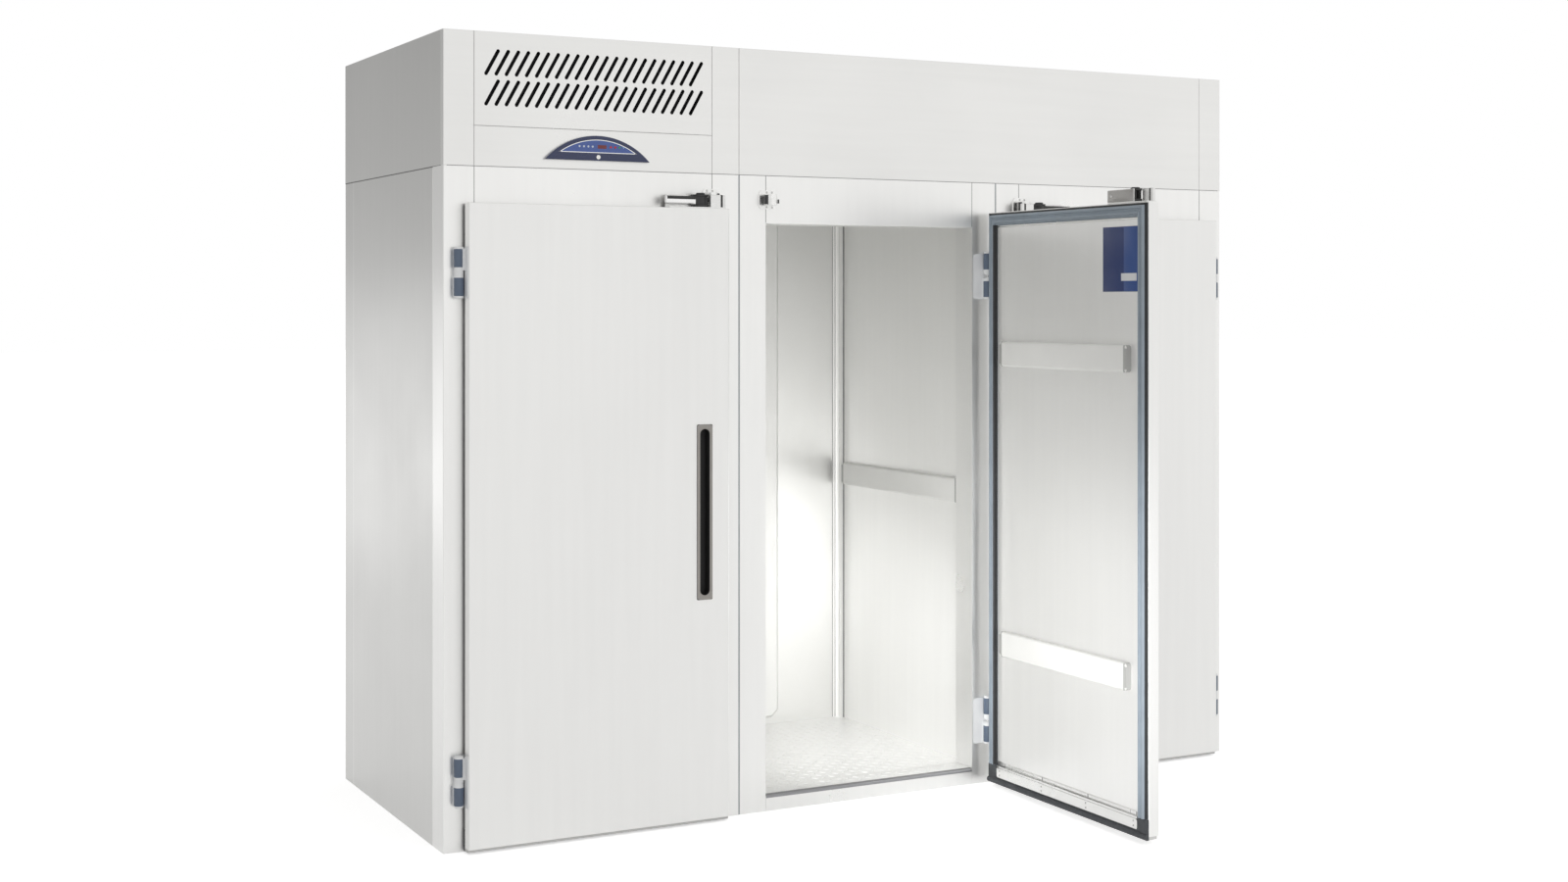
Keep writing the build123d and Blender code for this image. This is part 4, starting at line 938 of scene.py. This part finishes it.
CONTROL_X, CONTROL_BASE = CENTRES[1], 1.946
CHORD, RISE, THICK = 0.325, 0.072, 0.014
LENS_INSET, LENS_FOOT, LENS_PROUD = 0.011, 0.022, 0.0004
LINE_OUTER, LINE_INNER, LINE_PROUD, LINE_FOOT = 0.0006, 0.0026, 0.0008, 0.0020
LENS_STEPS = 40
DISPLAY_X, DISPLAY_Y, DISPLAY_Z = (-0.002, 0.026), (0.001, 0.006), (0.0345, 0.0455)
SYMBOL_RISE, SYMBOL_START, SYMBOL_PITCH, SYMBOLS = 0.040, -0.058, 0.0135, 4
SYMBOL_RING = [(0.0030, 0.0), (0.0030, 0.0004), (0.0022, 0.0004), (0.0021, 0.0001)]
LAMP_DOME = [(0.0026, 0.0), (0.0026, 0.0008), (0.0016, 0.0013)]
LAMPS = {"lamp_running": (0.066, lamp_green), "lamp_defrost": (0.079, lamp_blue)}

moon_radius = (CHORD**2 / 4 + RISE**2) / (2 * RISE)
lens_radius = moon_radius - LENS_INSET
lens_base = CONTROL_BASE + LENS_FOOT
lens_centre = CONTROL_BASE + RISE - moon_radius
lens_half = math.sqrt(lens_radius**2 - (lens_base - lens_centre) ** 2)
controller_face = FRONT - THICK
lens_y = controller_face + 0.0015
rise_angle = math.degrees(math.asin((lens_base - lens_centre) / lens_radius))


def lens_arc(inset):
    """The lens's upper edge, moved inwards."""
    radius = lens_radius - inset
    return arc((CONTROL_X, lens_centre), radius, rise_angle, 180 - rise_angle, LENS_STEPS)


def on_lens(x):
    """A seat on the lens at a distance right of the controller's middle, looking out."""
    seat = (CONTROL_X + x, lens_y - LENS_PROUD, CONTROL_BASE + SYMBOL_RISE)
    return Matrix.Translation(seat) @ AIM["-Y"]


bm = bmesh.new()
plate(bm, lens_arc(LINE_INNER), lens_y - LENS_PROUD, lens_y)
new_piece("controller_lens", bm, lens_blue, "cabinet")

bm = bmesh.new()
strip(bm, lens_arc(LINE_OUTER), lens_arc(LINE_INNER), lens_y - LINE_PROUD, lens_y)
base_low = [(CONTROL_X - lens_half, lens_base), (CONTROL_X + lens_half, lens_base)]
base_high = [(x, z + LINE_FOOT) for x, z in base_low]
strip(bm, base_low, base_high, lens_y - LINE_PROUD, lens_y)
new_piece("controller_line", bm, strike_chrome, "cabinet")

bm = bmesh.new()
corner = Vector((CONTROL_X, controller_face, CONTROL_BASE))
low, high = zip(DISPLAY_X, DISPLAY_Y, DISPLAY_Z)
slab(bm, corner + Vector(low), corner + Vector(high), 0.0006)
new_piece("display_window", bm, display_red, "cabinet")

for name, (x, material) in LAMPS.items():
    bm = bmesh.new()
    lathe(bm, LAMP_DOME, on_lens(x), 16)
    new_piece(name, bm, material, "cabinet")
bm = bmesh.new()
for i in range(SYMBOLS):
    lathe(bm, SYMBOL_RING, on_lens(SYMBOL_START + i * SYMBOL_PITCH), 12)
new_piece("membrane_symbols", bm, symbol_pale, "cabinet")


# Care plate, left blank, on the inner face of the open door

LABEL_X = (DOOR_RIGHT - 0.213, DOOR_RIGHT - 0.048)
LABEL_Z = (1.560, 1.748)
TONE_SHARE, TONE_EDGE = 0.60, 0.001
FIELD_X = (LABEL_X[1] - 0.078, LABEL_X[1] - 0.006)
FIELD_Z = (LABEL_Z[0] + 0.031, LABEL_Z[0] + 0.053)


def label(name, material, x, z, out, radius):
    """One flat field of the care plate, between two distances out of the door."""
    bm = bmesh.new()
    slab(bm, (x[0], FACE_Y + out[0], z[0]), (x[1], FACE_Y + out[1], z[1]), radius)
    new_piece(name, bm, material, "door_2", door_matrix(2))


tone_x = (LABEL_X[0] + TONE_SHARE * (LABEL_X[1] - LABEL_X[0]), LABEL_X[1] - TONE_EDGE)
tone_z = (LABEL_Z[0] + TONE_EDGE, LABEL_Z[1] - TONE_EDGE)
label("care_plate", label_blue, LABEL_X, LABEL_Z, (0, 0.0008), 0.0003)
label("care_plate_tone", label_mid, tone_x, tone_z, (0.0006, 0.0010), 0.0001)
label("care_plate_field", label_pale, FIELD_X, FIELD_Z, (0.0008, 0.0013), 0.0001)


# Gaskets: black flanks either side of the grey sealing face, painted shade for the shadow along the
# gasket's sides, and the liner's fold below the top

GASKET_MIDDLE, GASKET_HALF, GASKET_FOOT, GASKET_GAP = 0.022, 0.019, 0.0645, 0.0005
FLANK_SUNK, FLANK_SKIN = 0.0004, 0.0003
FOLD_BELOW, FOLD_TALL, FOLD_ROUND = 0.0072, 0.0070, 0.0028
FOLD_Y = (FACE_Y - 0.001, FACE_Y + 0.0045)
# Distances out of the door's face and across the seal, from its edge inwards
LEDGE = [(0.0006, 0.019), (0.0038, 0.019), (0.0060, 0.013), (0.0074, 0.013)]
FLANK = LEDGE[:3] + [(0.0097, 0.013), (0.0135, 0.0107)]
gasket_x = (DOOR_LEFT + GASKET_MIDDLE, DOOR_RIGHT - GASKET_MIDDLE)
gasket_top = DOOR_TOP - GASKET_MIDDLE


def flank_outline(centre, side, profile):
    """The section of a flank on one side of the seal's middle."""
    near = [(centre + side * (across - FLANK_SUNK), FACE_Y + out) for out, across in profile]
    far = [
        (centre + side * (across + FLANK_SKIN), FACE_Y + out + FLANK_SKIN / 2)
        for out, across in profile
    ]
    return near + far[::-1]


for n in CENTRES:
    bm = bmesh.new()
    for centre, side in itertools.product(gasket_x, (-1, 1)):
        inward = side * (DOOR_MIDDLE - centre) > 0
        reach = GASKET_HALF if inward else -GASKET_HALF
        profile = LEDGE if centre > DOOR_MIDDLE and not inward else FLANK
        top = gasket_top - reach + GASKET_GAP
        plate(bm, flank_outline(centre, side, profile), GASKET_FOOT, top, "XY")
    made = bmesh.new()
    across = (gasket_x[0] - GASKET_HALF, gasket_x[1] + GASKET_HALF)
    plate(made, flank_outline(0.0, 1, LEDGE), *across, "XY")
    lying = Matrix(((0, 0, 1, 0), (0, 1, 0, 0), (1, 0, 0, gasket_top), (0, 0, 0, 1)))
    bmesh.ops.transform(made, matrix=lying, verts=made.verts)
    join(bm, made)
    door_piece("gasket_flanks", bm, gasket_flank_shade, n)

    bm = bmesh.new()
    fold_z = gasket_top - GASKET_HALF - FOLD_BELOW
    left, right = gasket_x[0] + GASKET_HALF + 0.002, gasket_x[1] - GASKET_HALF - 0.0005
    slab(bm, (left, FOLD_Y[0], fold_z), (right, FOLD_Y[1], fold_z + FOLD_TALL), FOLD_ROUND, 3)
    door_piece("liner_fold", bm, strip_steel, n)


# Handles: a bronze surround round the black recess

HANDLE_X, HANDLE_Z = DOOR_RIGHT - 0.081, 0.920
SURROUND_HALF_WIDE, SURROUND_HALF_TALL = 0.0246, 0.2576
SLOT_RADIUS, SLOT_HALF_TALL = 0.0158, 0.245
SURROUND_OUT, SURROUND_SKIN = 0.0024, 0.0006
straight = SLOT_HALF_TALL - SLOT_RADIUS


def surround_edge(x, z):
    """The point of the surround's outer edge that belongs to a point of its slot."""
    dx, dz = x - HANDLE_X, z - HANDLE_Z
    past = abs(dz) - straight
    if past <= 0:
        return HANDLE_X + math.copysign(SURROUND_HALF_WIDE, dx), z
    share = max(abs(dx) / SURROUND_HALF_WIDE, past / (SURROUND_HALF_TALL - straight), 1e-6)
    return HANDLE_X + dx / share, HANDLE_Z + math.copysign(straight + past / share, dz)


hole = arc((HANDLE_X, HANDLE_Z + straight), SLOT_RADIUS, 0, 180, 12)
hole += arc((HANDLE_X, HANDLE_Z - straight), SLOT_RADIUS, 180, 360, 12)
edge = [surround_edge(x, z) for x, z in hole]
surround_y = SKIN_Y - SURROUND_OUT
for n in CENTRES:
    bm = bmesh.new()
    strip(bm, hole, edge, surround_y, surround_y + SURROUND_SKIN, closed=True)
    door_piece("handle_surround", bm, handle_bronze, n)


# Hinges: a moulded cover clipped round each knuckle, open at its back

COVER_START, COVER_END = 0.0145, 0.0655
KNUCKLE, COVER_SKIN, COVER_LIP, COVER_EASE = 0.013, 0.0010, 0.0002, 0.0014
COVER_STEPS = 28
UPPER_ANGLES, LOWER_ANGLES = (-14, 298), (145, 395)


def knuckle_cover(bm, low, high, angles):
    """A skin round the barrel between two angles in degrees, with rounded ends."""
    levels = [(low, COVER_LIP), (low + COVER_EASE, COVER_SKIN)]
    levels += [(high - COVER_EASE, COVER_SKIN), (high, COVER_LIP)]
    skins = []
    for share in (0, 1):
        rows = []
        for z, skin in levels:
            ring = arc((0, 0), KNUCKLE + share * skin, *angles, COVER_STEPS)
            rows.append([bm.verts.new((x, y, z)) for x, y in ring])
        skins.append(rows)
    inner, outer = skins
    for rows in skins:
        for one, two in zip(rows, rows[1:]):
            for i in range(COVER_STEPS):
                bm.faces.new((one[i], one[i + 1], two[i + 1], two[i]))
    for k in (0, -1):
        for i in range(COVER_STEPS):
            bm.faces.new((inner[k][i], inner[k][i + 1], outer[k][i + 1], outer[k][i]))
    for i in (0, -1):
        for k in range(len(levels) - 1):
            bm.faces.new((inner[k][i], inner[k + 1][i], outer[k + 1][i], outer[k][i]))


for n in CENTRES:
    upper, lower = bmesh.new(), bmesh.new()
    for height in HINGE_HEIGHTS:
        knuckle_cover(upper, height + COVER_START, height + COVER_END, UPPER_ANGLES)
        knuckle_cover(lower, height - COVER_END, height - COVER_START, LOWER_ANGLES)
    door_piece("hinge_cover_upper", upper, cap_slate, n)
    new_piece(f"hinge_cover_lower_{n}", lower, cap_slate, "cabinet", door_matrix(n, turned=False))


# Floor: plain grey that shows white to the camera and keeps the object's shadow

FLOOR_HALF = 60.0
FLOOR_GREY = (0.80, 0.80, 0.80, 1)
FLOOR_MIRRORED, FLOOR_SEEN = 0.34, 0.56

floor_mesh = bpy.data.meshes.new("floor")
corners = [(FLOOR_HALF * x, FLOOR_HALF * y, 0) for x, y in ((-1, -1), (1, -1), (1, 1), (-1, 1))]
floor_mesh.from_pydata(corners, [], [(0, 1, 2, 3)])
floor = bpy.data.objects.new("floor", floor_mesh)
bpy.context.scene.collection.objects.link(floor)
floor_white = bpy.data.materials.new("floor_white")
floor_white.use_nodes = True
tree = floor_white.node_tree
tree.nodes.clear()
out = add_node(tree, "ShaderNodeOutputMaterial")
diffuse = add_node(tree, "ShaderNodeBsdfDiffuse", Color=FLOOR_GREY)
glow = add_node(tree, "ShaderNodeEmission")
path = add_node(tree, "ShaderNodeLightPath")
mirrored = maths(tree, "MULTIPLY", path.outputs["Is Glossy Ray"], FLOOR_MIRRORED)
strength = maths(tree, "MULTIPLY_ADD", path.outputs["Is Camera Ray"], FLOOR_SEEN, mirrored)
tree.links.new(strength, glow.inputs["Strength"])
both = add_node(tree, "ShaderNodeAddShader")
tree.links.new(diffuse.outputs[0], both.inputs[0])
tree.links.new(glow.outputs[0], both.inputs[1])
tree.links.new(both.outputs[0], out.inputs["Surface"])
floor_mesh.materials.append(floor_white)


# World: soft light, brightest from the front right, with a faint band round the horizon

BRIGHT_SIDE = (0.42, -0.88, 0.22)
SIDE_SPAN, SIDE_LIGHT = (-1.0, 0.7), (0.33, 0.90)
BAND_TALL, BAND_LIGHT = 0.30, 0.20

world = bpy.data.worlds.new("studio")
bpy.context.scene.world = world
world.use_nodes = True
tree = world.node_tree
tree.nodes.clear()
out = add_node(tree, "ShaderNodeOutputWorld")
coords = add_node(tree, "ShaderNodeTexCoord")
facing = add_node(tree, "ShaderNodeVectorMath", operation="DOT_PRODUCT")
facing.inputs[1].default_value = BRIGHT_SIDE
tree.links.new(coords.outputs["Generated"], facing.inputs[0])
level = remap(tree, facing.outputs["Value"], *SIDE_SPAN, *SIDE_LIGHT, "SMOOTHSTEP")
split = add_node(tree, "ShaderNodeSeparateXYZ")
tree.links.new(coords.outputs["Generated"], split.inputs[0])
off_level = maths(tree, "ABSOLUTE", split.outputs["Z"])
band = remap(tree, off_level, 0.0, BAND_TALL, BAND_LIGHT, 0.0, "SMOOTHSTEP")
studio = add_node(tree, "ShaderNodeBackground", Color=(1.0, 0.995, 0.985, 1))
tree.links.new(maths(tree, "ADD", level, band), studio.inputs["Strength"])
white = add_node(tree, "ShaderNodeBackground", Color=(1, 1, 1, 1))
path = add_node(tree, "ShaderNodeLightPath")
mix = add_node(tree, "ShaderNodeMixShader")
tree.links.new(path.outputs["Is Camera Ray"], mix.inputs["Fac"])
tree.links.new(studio.outputs[0], mix.inputs[1])
tree.links.new(white.outputs[0], mix.inputs[2])
tree.links.new(mix.outputs[0], out.inputs["Surface"])


# Lamps: one in the open bay, one for the open door's liner and one for the left side


def softbox(name, at, aim, size, energy, spread):
    """A square lamp that looks from one point at another, its spread in degrees."""
    data = bpy.data.lights.new(name, "AREA")
    data.energy = energy
    data.size = size
    data.spread = math.radians(spread)
    lamp = bpy.data.objects.new(name, data)
    lamp.location = at
    lamp.rotation_euler = (Vector(aim) - Vector(at)).to_track_quat("-Z", "Y").to_euler()
    lamp.visible_camera = False
    bpy.context.scene.collection.objects.link(lamp)
    return lamp


softbox(
    "bay_softbox", at=(-0.32, -0.30, 0.70), aim=(0.40, -0.04, 0.08), size=0.35, energy=1.35, spread=96
)
liner_lamp = softbox(
    "liner_softbox", at=(-0.25, -1.50, 0.50), aim=(0.42, -0.85, 0.62), size=0.9, energy=3.5, spread=84
)
# The liner's lamp turns with its door, so it doesn't glare on the closed doors.
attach(liner_lamp, "door_2")
softbox(
    "side_softbox", at=(-2.72, 3.2, 1.00), aim=(-1.38, 0.0, 1.00), size=1.2, energy=0.7, spread=120
)


# Camera: fitted to the photograph's verticals and joints, in pixels of its frame

PHOTO_WIDE, PHOTO_TALL = 1600, 900
FOCAL_PIXELS, HORIZON_PIXEL = 2036.49, 310.24
SENSOR = 36.0
CAMERA_AT, CAMERA_TURN = (-3.1265, -5.8630, 1.5323), -0.4841

camera_data = bpy.data.cameras.new("camera")
camera_data.sensor_width = SENSOR
camera_data.sensor_fit = "HORIZONTAL"
camera_data.lens = FOCAL_PIXELS * SENSOR / PHOTO_WIDE
camera_data.shift_y = (HORIZON_PIXEL - PHOTO_TALL / 2) / PHOTO_WIDE
camera_data.clip_end = 200
camera = bpy.data.objects.new("camera", camera_data)
camera.location = CAMERA_AT
camera.rotation_euler = (math.radians(90), 0, CAMERA_TURN)
bpy.context.scene.collection.objects.link(camera)
bpy.context.scene.camera = camera
bpy.context.scene.view_settings.view_transform = "Standard"
